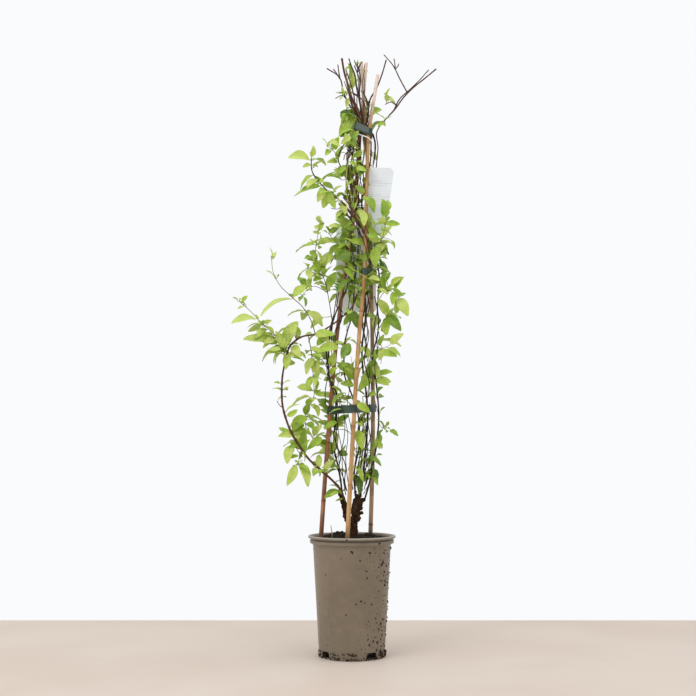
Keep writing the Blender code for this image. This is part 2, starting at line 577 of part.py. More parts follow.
# Leafy stems: each has a route from the crown up through the canes, side shoots that leave it,
# and leaves. A leaf is given by where its blade starts and where its tip is, as (x, z, x, z).
STEMS = {
    "stem_arc": {
        "stem": [
            (-27, -18, 328), (-41, -29, 342), (-59, -37, 358), (-79, -41, 376), (-95, -44, 396),
            (-107, -46, 416), (-119, -47, 436), (-127, -47, 458), (-133, -46, 480), (-135, -45, 502),
            (-135, -43, 532), (-132, -41, 552), (-128, -40, 572), (-125, -38, 588), (-119, -36, 600),
            (-111, -35, 608), (-99, -33, 616), (-85, -31, 619), (-71, -29, 622), (-57, -27, 629),
            (-43, -24, 638), (-27, -21, 650), (-15, -19, 660), (-3, -18, 672), (5, -16, 684),
            (11, -13, 704), (17, -11, 722), (31, -17, 738), (35, -20, 752), (35, -14, 775),
            (31, -13, 802), (21, -12, 828), (-3, -10, 862), (-21, -13, 886), (-37, -17, 898),
            (-54, -20, 905), (-63, -22, 923), (-75, -23, 938), (-82, -24, 952), (-80, -25, 970),
        ],
        "radii": (2.3, 1.0),
        "shoots": [
            ([
                (-71, -29, 622), (-77, -31, 638), (-81, -34, 652), (-91, -38, 668), (-101, -41, 680),
                (-115, -44, 692), (-131, -46, 706), (-141, -48, 718), (-147, -49, 730),
                (-153, -49, 742), (-158, -48, 758), (-156, -47, 768),
            ], 1.2),
            ([
                (-128, -40, 572), (-133, -43, 590), (-138, -45, 604), (-149, -48, 620),
                (-161, -50, 630), (-171, -52, 638), (-183, -54, 652), (-195, -55, 664),
                (-209, -56, 676), (-218, -56, 684),
            ], 1.2),
            ([
                (-85, -31, 619), (-81, -27, 600), (-77, -26, 572), (-76, -26, 540), (-72, -27, 510),
                (-80, -30, 486), (-92, -32, 464), (-88, -31, 440), (-76, -29, 420),
            ], 1.1),
            ([(-95, -44, 396), (-101, -50, 384), (-103, -53, 370)], 1.0),
        ],
        "leaves": [
            (-156, 768, -158, 786), (-152, 768, -146, 782), (-147, 730, -163, 742),
            (-145, 730, -141, 736), (-115, 692, -172, 664), (-112, 694, -92, 718),
            (-92, 668, -122, 660), (-88, 664, -60, 640), (-218, 684, -228, 690), (-212, 682, -203, 694),
            (-208, 676, -218, 670), (-208, 680, -216, 684), (-184, 652, -226, 646),
            (-190, 656, -180, 650), (-170, 640, -156, 646), (-170, 634, -180, 640),
            (-146, 610, -205, 614), (-148, 616, -168, 620), (-150, 620, -162, 634),
            (-136, 604, -108, 642), (-132, 594, -118, 618), (-136, 602, -150, 594),
            (-142, 598, -158, 588), (-138, 594, -172, 574), (-136, 586, -150, 568),
            (-124, 584, -128, 556), (-114, 600, -102, 578), (-118, 596, -92, 576),
            (-110, 610, -92, 606), (-120, 604, -98, 600), (-78, 590, -50, 582), (-74, 574, -88, 548),
            (-72, 570, -66, 544), (-76, 540, -84, 516), (-74, 538, -68, 516), (-72, 512, -57, 502),
            (-78, 512, -104, 520), (-84, 500, -118, 482), (-84, 486, -90, 466), (-90, 462, -112, 436),
            (-86, 462, -54, 450), (-88, 442, -94, 396), (-76, 424, -62, 444), (-72, 620, -38, 622),
            (-64, 622, -46, 606), (-134, 500, -142, 494), (-134, 526, -120, 530),
            (-134, 514, -152, 516), (-132, 514, -122, 518), (-112, 424, -138, 440),
            (-106, 416, -104, 432), (-98, 398, -118, 416), (-96, 398, -90, 378), (-112, 406, -124, 376),
            (-104, 368, -122, 334), (-102, 368, -84, 334), (-100, 374, -110, 378), (-80, 378, -44, 396),
            (-70, 366, -74, 350), (-52, 352, -38, 378), (-60, 360, -62, 348), (-30, 332, -48, 322),
            (-22, 320, -50, 308), (-16, 308, -32, 294), (-2, 668, 10, 640), (10, 704, -14, 712),
            (-80, 972, -76, 990), (-82, 966, -120, 968), (-82, 956, -95, 950), (-78, 950, -56, 960),
            (-74, 938, -100, 914), (-66, 926, -86, 910), (-62, 916, -110, 900), (-60, 922, -30, 940),
            (-56, 908, -66, 884), (-50, 902, -34, 872), (-44, 900, -56, 876), (-38, 898, -22, 912),
            (-26, 890, -38, 878), (-20, 886, -12, 862), (24, 826, 34, 860), (6, 852, 26, 836),
            (33, 792, 56, 800), (33, 780, 64, 752),
        ],
    },
    "stem_left": {
        "stem": [
            (-21, 7, 330), (-24, 6, 350), (-29, 2, 374), (-34, -2, 394), (-35, -4, 432), (-30, -9, 458),
            (-29, -11, 490), (-31, -21, 510), (-40, -27, 528), (-46, -25, 552), (-43, -16, 622),
            (-38, -3, 645), (-33, 3, 664), (-23, 4, 686), (-11, 6, 712), (-5, 8, 756), (-12, 10, 792),
            (0, 11, 836), (-2, 13, 872), (-2, 14, 916), (-12, 11, 942), (-23, 5, 960), (-27, 1, 976),
            (-18, -2, 998), (-4, -3, 1012), (8, -2, 1027), (12, 0, 1046),
        ],
        "radii": (1.9, 0.9),
        "shoots": [
            ([
                (-38, -3, 645), (-42, -8, 672), (-48, -14, 706), (-57, -20, 740), (-67, -24, 762),
                (-71, -26, 790), (-66, -27, 820), (-61, -27, 842),
            ], 1.1),
            ([(-57, -20, 740), (-72, -24, 742), (-88, -27, 752)], 0.9),
            ([(-48, -14, 706), (-66, -19, 716), (-84, -23, 714), (-98, -26, 698)], 0.9),
            ([(-45, -26, 552), (-52, -24, 566), (-60, -22, 574)], 0.8),
            ([(-12, 10, 792), (-24, 6, 800), (-38, 2, 812), (-46, -1, 824)], 0.8),
            ([(-27, 1, 976), (-38, -4, 990), (-50, -8, 998)], 0.8),
            ([
                (-24, 6, 350), (-36, 9, 380), (-41, 8, 420), (-39, 6, 460), (-35, 4, 500),
                (-41, 2, 540),
            ], 0.9),
            ([
                (-22, 7, 336), (-25, 15, 370), (-29, 18, 420), (-32, 16, 470), (-28, 13, 520),
                (-22, 12, 566),
            ], 0.9),
        ],
        "leaves": [
            (-61, 840, -66, 856), (-64, 826, -56, 842), (-46, 824, -28, 834), (-44, 824, -50, 836),
            (-36, 812, -24, 824), (-70, 798, -108, 790), (-70, 796, -62, 816), (-66, 800, -26, 802),
            (-70, 786, -60, 764), (-70, 770, -80, 788), (-62, 756, -42, 784), (-88, 752, -104, 730),
            (-86, 752, -94, 764), (-74, 742, -66, 732), (-90, 712, -100, 736), (-98, 698, -108, 702),
            (-96, 698, -90, 680), (-84, 714, -80, 734), (-50, 712, -34, 744), (-48, 706, -60, 716),
            (-14, 706, -32, 722), (-8, 724, -4, 700), (-12, 790, -40, 766), (-10, 786, -4, 764),
            (-14, 796, -34, 800), (-6, 762, -24, 778), (-2, 836, -28, 850), (0, 842, -20, 812),
            (-2, 866, 12, 880), (0, 880, -18, 902), (-2, 912, 12, 938), (-6, 932, 4, 960),
            (-14, 944, -34, 956), (-20, 958, -12, 944), (-38, 990, -26, 1008), (-50, 998, -58, 1010),
            (-48, 996, -42, 1010), (-18, 998, -6, 1014), (-40, 560, -34, 584), (-60, 574, -84, 584),
            (-56, 570, -44, 594), (-44, 600, -20, 606), (-44, 620, -66, 604), (-38, 500, -66, 512),
            (-36, 470, -62, 462), (-40, 450, -62, 446), (-38, 430, -32, 396), (-40, 424, -46, 440),
            (-26, 360, -46, 352), (-22, 338, -34, 330), (-2, 980, 18, 974),
        ],
    },
    "stem_middle": {
        "stem": [
            (5, -9, 336), (4, -10, 356), (8, -11, 378), (14, -12, 402), (14, -14, 452), (8, -14, 482),
            (0, -13, 503), (-6, -12, 520), (-14, -10, 540), (-15, -9, 602), (-8, -6, 632), (0, -2, 662),
            (4, 2, 702), (8, 2, 752), (12, 0, 792), (14, -3, 832), (13, -10, 872), (14, -11, 902),
            (6, -13, 952), (0, -13, 984), (-6, -14, 998),
        ],
        "radii": (1.7, 0.9),
        "shoots": [
            ([(-14, -10, 540), (-16, -18, 560), (-14, -24, 578)], 0.8),
            ([(0, -13, 503), (-12, -14, 500), (-24, -16, 494)], 0.8),
            ([
                (4, -10, 350), (7, -17, 378), (10, -20, 410), (12, -21, 450), (11, -20, 480),
                (5, -21, 512), (3, -22, 548), (-2, -20, 580),
            ], 0.9),
            ([(8, 2, 752), (0, -4, 772), (-4, -8, 800), (-2, -12, 836)], 0.8),
        ],
        "leaves": [
            (-26, 602, 2, 560), (-14, 578, -6, 602), (-12, 566, 8, 536), (-16, 545, -4, 526),
            (-14, 600, -4, 616), (-2, 612, 10, 602), (-24, 494, -40, 478), (-22, 496, -14, 504),
            (-2, 500, 8, 486), (-4, 484, -20, 500), (10, 452, 0, 430), (8, 456, 28, 420),
            (10, 400, 24, 412), (6, 366, 20, 340), (6, 350, 14, 316), (6, 338, 18, 326),
            (0, 660, -14, 644), (4, 660, 12, 642), (2, 700, 16, 680), (6, 740, -6, 722),
            (12, 800, 2, 818), (14, 812, 30, 818), (14, 840, 32, 872), (12, 850, 30, 836),
            (12, 880, 26, 892), (14, 900, 30, 912), (10, 930, 32, 950), (8, 940, -6, 962),
            (4, 960, 16, 936), (2, 976, 20, 984), (0, 984, 14, 990), (-4, 996, 10, 1022),
            (-6, 996, -12, 1018), (-2, 990, 8, 1000),
        ],
    },
    "stem_tall": {
        "stem": [
            (21, 4, 334), (23, 5, 354), (26, 7, 392), (30, 9, 432), (31, 10, 466), (29, 8, 502),
            (25, 5, 532), (21, 3, 562), (20, 2, 602), (24, 4, 632), (27, 6, 662), (27, 4, 692),
            (23, 0, 720), (24, -4, 742), (32, -4, 758), (38, 0, 772), (34, -3, 790), (30, -2, 815),
            (25, -2, 842), (20, 0, 872), (22, 0, 912), (34, -3, 954), (38, -2, 978), (38, 4, 994),
            (38, 10, 1014), (35, 15, 1038), (26, 19, 1052), (11, 17, 1074), (4, 10, 1086),
            (-3, 3, 1110), (-12, -1, 1134), (-17, -4, 1158), (-20, -6, 1175),
        ],
        "radii": (2.0, 1.3),
        "shoots": [
            ([
                (35, 15, 1038), (24, 27, 1056), (11, 27, 1070), (0, 21, 1080), (-11, 14, 1096),
                (-17, 9, 1112), (-23, 4, 1136), (-36, 2, 1150), (-50, 0, 1156),
            ], 1.2),
            ([(-23, 4, 1136), (-31, 5, 1148), (-37, 7, 1157)], 0.9),
            ([(-23, 4, 1136), (-26, 2, 1150), (-28, 0, 1164)], 0.9),
            ([
                (35, 15, 1038), (34, 17, 1054), (33, 16, 1072), (34, 15, 1090), (44, 14, 1110),
                (54, 14, 1128), (60, 12, 1146), (65, 10, 1160), (69, 8, 1176),
            ], 1.2),
            ([(34, 15, 1090), (26, 22, 1096), (13, 21, 1104), (1, 15, 1110)], 1.0),
            ([(13, 21, 1104), (15, 22, 1120), (16, 24, 1136), (13, 22, 1154), (5, 20, 1168)], 1.0),
            ([(13, 22, 1154), (11, 20, 1166)], 0.9),
            ([(13, 22, 1154), (19, 26, 1164)], 0.9),
            ([(13, 21, 1104), (8, 17, 1122), (6, 14, 1138), (1, 12, 1154), (-5, 11, 1169)], 1.0),
            ([(-9, 16, 1093), (-16, 9, 1102), (-25, 6, 1103), (-33, 4, 1096)], 0.7),
            ([
                (23, 5, 354), (18, 12, 390), (21, 17, 440), (25, 16, 480), (33, 14, 520), (35, 12, 560),
                (28, 10, 600), (20, 11, 640), (17, 13, 680),
            ], 0.9),
            ([
                (27, 5, 676), (20, 12, 706), (15, 16, 740), (13, 18, 780), (16, 18, 820), (10, 17, 862),
                (7, 16, 902),
            ], 0.9),
        ],
        "leaves": [
            (-4, 1114, 2, 1142), (-10, 1132, -6, 1158), (-2, 1106, -18, 1104), (-6, 1098, -10, 1080),
            (-4, 1082, -20, 1066), (0, 1080, -18, 1062), (2, 1078, 10, 1044), (4, 1080, -10, 1052),
            (8, 1074, -22, 1050), (10, 1070, -24, 1034), (12, 1068, 2, 1026), (-14, 1104, -26, 1110),
            (36, 1062, 54, 1072), (34, 1072, 58, 1082), (40, 1034, 58, 1050), (38, 990, 48, 976),
            (36, 960, 20, 948), (34, 950, 50, 940), (22, 900, 8, 890), (22, 880, 36, 872),
            (22, 860, 44, 872), (28, 830, 44, 840), (34, 796, 50, 812), (38, 770, 56, 782),
            (30, 752, 16, 766), (24, 700, 38, 710), (26, 680, 10, 690), (20, 600, 32, 580),
            (20, 594, 30, 602), (22, 560, 10, 534), (24, 546, 14, 516), (30, 500, 44, 512),
            (30, 460, 18, 446), (30, 440, 16, 412), (26, 400, 12, 388), (24, 380, 12, 352),
            (26, 372, 40, 382), (22, 350, 8, 330),
        ],
    },
    "stem_right": {
        "stem": [
            (32, 13, 320), (36, 15, 342), (41, 18, 366), (49, 24, 412), (53, 26, 452), (52, 26, 492),
            (46, 20, 542), (40, 17, 572), (45, 15, 602), (53, 18, 632), (52, 15, 662), (50, 10, 692),
            (55, 7, 722), (52, 8, 756), (46, 8, 794), (45, 6, 822), (44, 4, 862), (45, 3, 902),
            (48, 1, 950), (52, -1, 1000), (50, -3, 1030), (66, -7, 1050), (83, -8, 1068),
            (97, -8, 1088), (109, -7, 1102), (123, -6, 1116), (137, -6, 1128), (153, -6, 1140),
            (168, -7, 1153),
        ],
        "radii": (1.8, 0.9),
        "shoots": [
            ([
                (83, -8, 1068), (89, -5, 1080), (99, -2, 1100), (109, 1, 1109), (120, 3, 1117),
                (131, 4, 1130), (145, 5, 1141), (154, 6, 1155),
            ], 0.9),
            ([(89, -5, 1080), (77, -4, 1087), (66, -4, 1082)], 0.8),
            ([
                (109, 1, 1109), (103, 3, 1120), (97, 4, 1133), (91, 5, 1148), (88, 6, 1156),
                (77, 8, 1171), (64, 10, 1187),
            ], 0.9),
            ([(88, 6, 1156), (86, 4, 1167), (84, 3, 1177)], 0.8),
            ([(88, 6, 1156), (92, 7, 1162), (94, 8, 1168)], 0.8),
            ([
                (46, 8, 794), (50, -8, 798), (57, -22, 804), (62, -36, 816), (65, -40, 840),
                (67, -41, 858),
            ], 0.9),
            ([(50, 10, 692), (60, 0, 704), (70, -8, 710), (84, -14, 708), (94, -17, 696)], 0.9),
            ([(53, 18, 632), (62, 12, 650), (72, 6, 664), (82, 2, 672)], 0.8),
            ([(53, 26, 452), (56, 12, 446), (60, 0, 440), (66, -8, 442), (74, -12, 440)], 0.8),
            ([(45, 15, 602), (54, 6, 596), (64, 0, 598), (74, -4, 602)], 0.8),
        ],
        "leaves": [
            (67, 1092, 74, 1110), (78, 1090, 66, 1108), (64, 1052, 46, 1060), (62, 1048, 52, 1036),
            (50, 1034, 64, 1024), (66, 858, 70, 882), (64, 850, 60, 880), (64, 842, 72, 852),
            (62, 836, 60, 850), (70, 838, 90, 836), (60, 812, 78, 834), (58, 806, 82, 798),
            (54, 800, 34, 810), (60, 806, 50, 784), (76, 806, 82, 790), (54, 764, 70, 794),
            (52, 762, 62, 752), (56, 770, 68, 756), (54, 724, 42, 752), (56, 722, 74, 748),
            (58, 730, 44, 736), (70, 712, 82, 724), (64, 708, 56, 732), (84, 710, 98, 732),
            (88, 705, 80, 684), (94, 696, 78, 712), (92, 694, 108, 662), (90, 692, 88, 668),
            (73, 711, 53, 703), (70, 664, 54, 690), (74, 664, 96, 660), (66, 656, 68, 626),
            (70, 662, 94, 634), (56, 640, 70, 628), (52, 660, 46, 636), (76, 602, 98, 622),
            (74, 600, 66, 618), (62, 598, 90, 578), (58, 598, 54, 576), (46, 572, 30, 538),
            (42, 566, 54, 542), (48, 536, 74, 532), (44, 538, 30, 536), (74, 440, 88, 426),
            (66, 442, 72, 452), (62, 440, 50, 456), (60, 436, 52, 420), (54, 430, 44, 400),
            (50, 412, 60, 400), (44, 384, 30, 366), (44, 386, 58, 388), (40, 362, 26, 336),
            (38, 352, 50, 332), (36, 342, 48, 346), (52, 470, 64, 480), (52, 500, 38, 516),
        ],
    },
}

LEAF_LENGTHS = (27, 37)
LEAF_WIDTHS = (0.56, 0.70)
SMALL_LEAF = 25
BASE_GROWTH = 0.04
TIP_GROWTH = 0.12
STALK = 4 * MM
# Each station of a blade: its share of the length, half its width as a share, and its rise as a share.
STATIONS = ((0.30, 0.5, 0.06), (0.66, 0.41, 0.07))
SMALL_STATIONS = ((0.42, 0.5, 0.06),)
BLADE_FOLD = 0.16
LEAF_TURNS = 24
LEAF_SEEDS = (50, 51, 52, 53, 63)
FACING = Vector((0.05, -0.62, 0.78))

placed = []


class Placed:
    """A shape that is in its place, kept for the clearance of what follows."""

    def __init__(self, owner, points, faces):
        self.owner = owner
        self.tree = BVHTree.FromPolygons(points, faces)
        self.low = Vector([min(point[axis] for point in points) for axis in range(3)])
        self.high = Vector([max(point[axis] for point in points) for axis in range(3)])

    def near(self, other):
        return all(self.low[i] <= other.high[i] and other.low[i] <= self.high[i] for i in range(3))

    def touches(self, other):
        return self.near(other) and bool(self.tree.overlap(other.tree))


def blade(root, start, tip, normal, width, thickness, small):
    """A leaf: its stalk, and a blade folded along its rib, in triangles alike on both faces."""
    along = tip - start
    length = along.length
    along.normalize()
    across = along.cross(normal).normalized()
    up = across.cross(along)
    half = thickness / 2
    stalk = 0.75 * MM
    stations = SMALL_STATIONS if small else STATIONS
    points = []
    for place in (root, start) if root else (start,):
        points.extend([place - across * stalk + up * stalk / 2, place + across * stalk + up * stalk / 2])
        points.append(place - up * stalk)
    for share, spread, rise in stations:
        middle = start + along * (share * length) + up * (rise * length)
        lift = up * (BLADE_FOLD * width)
        aside = across * (spread * width)
        for place in (middle - aside + lift, middle, middle + aside + lift):
            points.extend([place + up * half, place - up * half])
    points.append(tip)
    faces = [[0, 2, 1]]
    base = 0
    if root:
        for side in range(3):
            following = (side + 1) % 3
            faces.append([side, following, 3 + following])
            faces.append([side, 3 + following, 3 + side])
        base = 3
    left, right, low = base, base + 1, base + 2
    lt, lb, mt, mb, rt, rb = range(base + 3, base + 9)
    faces += [
        [left, mt, lt], [left, right, mt], [right, rt, mt],
        [left, lb, mb], [left, mb, low], [low, mb, right], [right, mb, rb],
        [left, lt, lb], [right, rb, rt],
    ]
    for step in range(len(stations) - 1):
        lt2, lb2, mt2, mb2, rt2, rb2 = range(base + 9 + 6 * step, base + 15 + 6 * step)
        faces += [
            [lt, mt2, lt2], [lt, mt, mt2], [mt, rt2, mt2], [mt, rt, rt2],
            [lb, lb2, mb2], [lb, mb2, mb], [mb, mb2, rb2], [mb, rb2, rb],
            [lt, lb2, lb], [lt, lt2, lb2], [rt, rb, rb2], [rt, rb2, rt2],
        ]
        lt, lb, mt, mb, rt, rb = lt2, lb2, mt2, mb2, rt2, rb2
    end = len(points) - 1
    faces += [[lt, mt, end], [mt, rt, end], [lb, end, mb], [mb, end, rb], [lt, end, lb], [rt, rb, end]]
    return points, faces


def push_clear(path, radius, others, fixed):
    """Bends a stem's points off the canes and off the other stems, leaving its first points alone."""
    for _ in range(5):
        for index in range(fixed, len(path)):
            for other_path, other_radius in others:
                need = radius + other_radius + STEM_CLEARANCE
                for a, b in zip(other_path, other_path[1:]):
                    if min(a.z, b.z) - need > path[index].z or max(a.z, b.z) + need < path[index].z:
                        continue
                    side = b - a
                    share = max(0.0, min(1.0, (path[index] - a).dot(side) / side.length_squared))
                    away = path[index] - (a + side * share)
                    if away.length < need:
                        if away.length < 1e-6:
                            away = Vector((0, 1, 0))
                        path[index] = path[index] + away.normalized() * (need - away.length)
    return path


def nearest_on(stems, x, z):
    """The point of the stems that lies nearest to a place seen from the front."""
    best = None
    for path, radius in stems:
        for a, b in zip(path, path[1:]):
            flat = Vector((b.x - a.x, b.z - a.z))
            span = max(flat.length_squared, 1e-12)
            share = max(0.0, min(1.0, ((x - a.x) * flat.x + (z - a.z) * flat.y) / span))
            place = a.lerp(b, share)
            distance = math.hypot(place.x - x, place.z - z)
            if best is None or distance < best[0]:
                best = (distance, place, (b - a).normalized())
    return best[1:]


def grown_out(x0, z0, x1, z1):
    """Where a leaf's blade starts and ends once it is full grown, seen from the front."""
    across = Vector((x1 - x0, z1 - z0))
    return Vector((x0, z0)) - across * BASE_GROWTH, Vector((x1, z1)) + across * TIP_GROWTH


def leaf_shapes(owner, stems, leaves, rng):
    """The leaves of one plant stem. One that would cut another leaf or node turns until it is clear."""
    made = []
    for leaf in leaves:
        (x0, z0), (x1, z1) = grown_out(*leaf)
        root, stem_way = nearest_on(stems, x0 * MM, z0 * MM)
        seen = math.hypot(x1 - x0, z1 - z0) * MM
        drawn = rng.uniform(*LEAF_LENGTHS) * MM
        small = seen < SMALL_LEAF * MM
        length = seen * 1.08 if small else max(seen * 1.03, drawn)
        depth = math.sqrt(length ** 2 - seen ** 2)
        side = rng.choice((-1, -1, 1))
        width = length * rng.uniform(*LEAF_WIDTHS)
        wobble = Vector([rng.uniform(-0.5, 0.5) for _ in range(3)])
        offset = rng.uniform(1.0, 4.0) * MM
        given = Vector((x0, 0, z0)) * MM
        for attempt in range(2 * LEAF_TURNS):
            strict = attempt < LEAF_TURNS
            turn = attempt % LEAF_TURNS
            toward = side if turn % 2 == 0 else -side
            share = 1.0 - 1.8 * (turn // 2) / LEAF_TURNS
            start = Vector((given.x, root.y + toward * offset, given.z))
            tip = Vector((x1 * MM, start.y + toward * depth * share, z1 * MM))
            if (start - root).length < STALK:
                out = (tip - root).normalized()
                out -= stem_way * out.dot(stem_way) * 0.7
                start = root + out.normalized() * STALK
            along = (tip - start).normalized()
            normal = FACING + wobble * (1 + 0.2 * turn)
            normal = normal - along * normal.dot(along)
            if normal.length < 0.2:
                normal = Vector((0, -1, 0)) - along * -along.y
            normal.normalize()
            shape = blade(root, start, tip, normal, width, BLADE_THICKNESS, small)
            fat = blade(root, start, tip, normal, width + 1 * MM, BLADE_THICKNESS + 0.8 * MM, small)
            probe = Placed(owner, *fat)
            inner = Placed(owner, *blade(None, start, tip, normal, width, BLADE_THICKNESS, small))
            if any(other.owner != owner and probe.touches(other) for other in placed):
                continue
            if strict and any(other.owner == owner and inner.touches(other) for other in placed):
                continue
            made.append(shape)
            placed.append(Placed(owner, *shape))
            break
    return made


obstacles = [(path, CANE_RADIUS * JOINT_SWELL) for path in CANE_PATHS.values()]
grown = {}
for name, plan in STEMS.items():
    start, way, radius = foot_of(name)
    thick, thin = (value * MM for value in plan["radii"])
    path = curve_through([start, start + way * 9 * MM, *mm_points(plan["stem"])], STEM_SPACING)
    path = push_clear(path, thick, obstacles, 2)
    count = len(path) - 1
    radii = [thick + (thin - thick) * index / count for index in range(count + 1)]
    stems = [(path, radii)]
    for route, shoot_radius in plan["shoots"]:
        side_path = curve_through(mm_points(route), STEM_SPACING)
        side_path[0] = nearest_on(stems, side_path[0].x, side_path[0].z)[0]
        side_path = push_clear(side_path, shoot_radius * MM, obstacles, 1)
        last = len(side_path) - 1
        side_radii = [shoot_radius * MM * (1 - 0.3 * index / last) for index in range(last + 1)]
        stems.append((side_path, side_radii))
    grown[name] = stems
    obstacles += [(other, max(size)) for other, size in stems]

band("tie_top", canes_and_stems_at, *TOP_TIE)
band("tie_low", canes_at, *LOW_TIE)
band("tie_middle", cane_and_stem_at, *MIDDLE_TIE)

for existing in bpy.data.objects:
    corners = [vertex.co.copy() for vertex in existing.data.vertices]
    faces = [list(face.vertices) for face in existing.data.polygons]
    placed.append(Placed(existing.name, corners, faces))
for name, stems in grown.items():
    for path, radii in stems:
        placed.append(Placed(name, *tube(path, radii, 5)))

for seed, (name, stems) in zip(LEAF_SEEDS, grown.items()):
    shapes = [tube(path, radii, 4 if index == 0 else 3) for index, (path, radii) in enumerate(stems)]
    leaves = leaf_shapes(name, stems, STEMS[name]["leaves"], random.Random(seed))
    body = join(name, shapes + leaves, FOLIAGE)
    smooth(body, 40)
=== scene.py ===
"""Potted climbing honeysuckle: every visible surface and its finish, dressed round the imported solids."""

import math
import random

import bmesh
import bpy
import numpy as np
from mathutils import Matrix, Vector, kdtree, noise
from mathutils.bvhtree import BVHTree


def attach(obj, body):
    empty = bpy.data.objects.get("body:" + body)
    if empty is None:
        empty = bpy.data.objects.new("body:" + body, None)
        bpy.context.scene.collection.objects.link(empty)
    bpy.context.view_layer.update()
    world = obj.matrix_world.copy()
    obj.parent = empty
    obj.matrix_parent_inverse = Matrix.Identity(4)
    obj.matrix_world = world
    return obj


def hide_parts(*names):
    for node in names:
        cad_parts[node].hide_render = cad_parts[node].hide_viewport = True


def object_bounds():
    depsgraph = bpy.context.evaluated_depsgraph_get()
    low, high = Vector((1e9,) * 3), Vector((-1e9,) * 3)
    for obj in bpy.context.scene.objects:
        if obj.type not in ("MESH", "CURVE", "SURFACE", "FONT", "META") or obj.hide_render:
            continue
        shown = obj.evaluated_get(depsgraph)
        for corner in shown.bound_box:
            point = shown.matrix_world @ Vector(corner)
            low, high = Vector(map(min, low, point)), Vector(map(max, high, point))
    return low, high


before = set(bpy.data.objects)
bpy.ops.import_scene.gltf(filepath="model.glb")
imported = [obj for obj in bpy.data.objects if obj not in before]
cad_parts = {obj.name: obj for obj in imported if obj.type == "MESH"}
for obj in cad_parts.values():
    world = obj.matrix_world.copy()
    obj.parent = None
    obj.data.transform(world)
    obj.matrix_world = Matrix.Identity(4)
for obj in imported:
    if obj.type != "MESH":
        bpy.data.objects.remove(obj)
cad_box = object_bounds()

# Studio: the camera stands 2.5 metres off, below the plant's middle, and looks a little up.
# The room is white, with a window's soft light from the left, a pale ceiling and a pale floor.
MM = 0.001
CAMERA_PLACE = (-0.0076, -2.529, 0.430)
CAMERA_TILT = 3.78
CAMERA_LENS = 66.69
FLOOR_SIDES = ((-3.2, 3.2), (-5.0, 0.477))
FLOOR_DROP = 0.3 * MM
WALL_COLOUR = (0.955, 0.963, 0.98)
WALL_LIGHT = 0.67


def in_scene(name, data):
    """A new object of the scene."""
    made = bpy.data.objects.new(name, data)
    bpy.context.scene.collection.objects.link(made)
    return made


camera_data = bpy.data.cameras.new("camera")
camera_data.lens = CAMERA_LENS
camera_data.sensor_width = 36
camera_data.clip_start = 0.01
camera_data.clip_end = 60
camera = in_scene("camera", camera_data)
camera.location = CAMERA_PLACE
camera.rotation_euler = (math.radians(90 + CAMERA_TILT), 0, 0)
bpy.context.scene.camera = camera


def soft_lamp(name, place, toward, size, power):
    data = bpy.data.lights.new(name, "AREA")
    data.shape = "DISK"
    data.size = size
    data.energy = power
    lamp = in_scene(name, data)
    lamp.location = place
    lamp.rotation_euler = (Vector(toward) - Vector(place)).to_track_quat("-Z", "Y").to_euler()


soft_lamp("window", place=(-1.8, -2.2, 2.4), toward=(0, 0, 0.6), size=2.0, power=29)
soft_lamp("ceiling", place=(0.5, -0.5, 3.2), toward=(0, 0, 0.5), size=2.6, power=20)
bpy.context.scene.view_settings.view_transform = "Standard"


def srgb(red, green, blue):
    """A colour as seen on a screen, in the light values that shaders use."""
    return tuple(((c / 255 + 0.055) / 1.055) ** 2.4 if c > 10 else c / 3294 for c in (red, green, blue))


class Nodes:
    """A shader tree, with short ways to put nodes in it."""

    def __init__(self, tree):
        self.tree = tree

    def feed(self, socket, value):
        """Links a socket to the socket it is given, or sets it to the number or colour."""
        if isinstance(value, bpy.types.NodeSocket):
            self.tree.links.new(value, socket)
        elif socket.type == "RGBA":
            socket.default_value = (*value[:3], 1.0)
        else:
            socket.default_value = value

    def add(self, kind, inputs=None, **settings):
        """A node with its settings and its inputs."""
        node = self.tree.nodes.new(kind)
        for label, value in settings.items():
            setattr(node, label, value)
        for label, value in (inputs or {}).items():
            self.feed(node.inputs[label], value)
        return node

    def maths(self, operation, *values):
        return self.add("ShaderNodeMath", dict(enumerate(values)), operation=operation).outputs[0]

    def between(self, value, low, high):
        """How far a value has come from one number to another, from 0 to 1, without corners."""
        inputs = {"Value": value, "From Min": low, "From Max": high}
        return self.add("ShaderNodeMapRange", inputs, interpolation_type="SMOOTHSTEP").outputs[0]

    def mixed(self, factor, first, second):
        return self.add("ShaderNodeMix", {0: factor, 6: first, 7: second}, data_type="RGBA").outputs[2]

    def effect(self, group, **inputs):
        """What a group of nodes gives, placed here with values of its own."""
        inputs = {label.capitalize(): value for label, value in inputs.items()}
        return self.add("ShaderNodeGroup", inputs, node_tree=group.tree).outputs


# The room's walls look white, and send back two thirds of that as light.
room = bpy.data.worlds.new("room")
room.use_nodes = True
bpy.context.scene.world = room
walls = Nodes(room.node_tree)
wall_light = room.node_tree.nodes["Background"].inputs
looked_at = walls.add("ShaderNodeLightPath").outputs["Is Camera Ray"]
walls.feed(wall_light["Color"], WALL_COLOUR)
walls.feed(wall_light["Strength"], walls.maths("MULTIPLY_ADD", looked_at, 1 - WALL_LIGHT, WALL_LIGHT))


class Effect(Nodes):
    """A group of nodes that more than one finish uses, with what it is given and what it gives."""

    def __init__(self, name, takes, gives):
        super().__init__(bpy.data.node_groups.new(name, "ShaderNodeTree"))
        for label, value in takes.items():
            kind = "NodeSocketVector" if value is None else "NodeSocketFloat"
            socket = self.tree.interface.new_socket(label, in_out="INPUT", socket_type=kind)
            if value is not None:
                socket.default_value = value
        for label in gives:
            self.tree.interface.new_socket(label, in_out="OUTPUT", socket_type="NodeSocketFloat")
        self.given = self.tree.nodes.new("NodeGroupInput").outputs
        self.made = self.tree.nodes.new("NodeGroupOutput").inputs

    def give(self, label, value):
        self.feed(self.made[label], value)


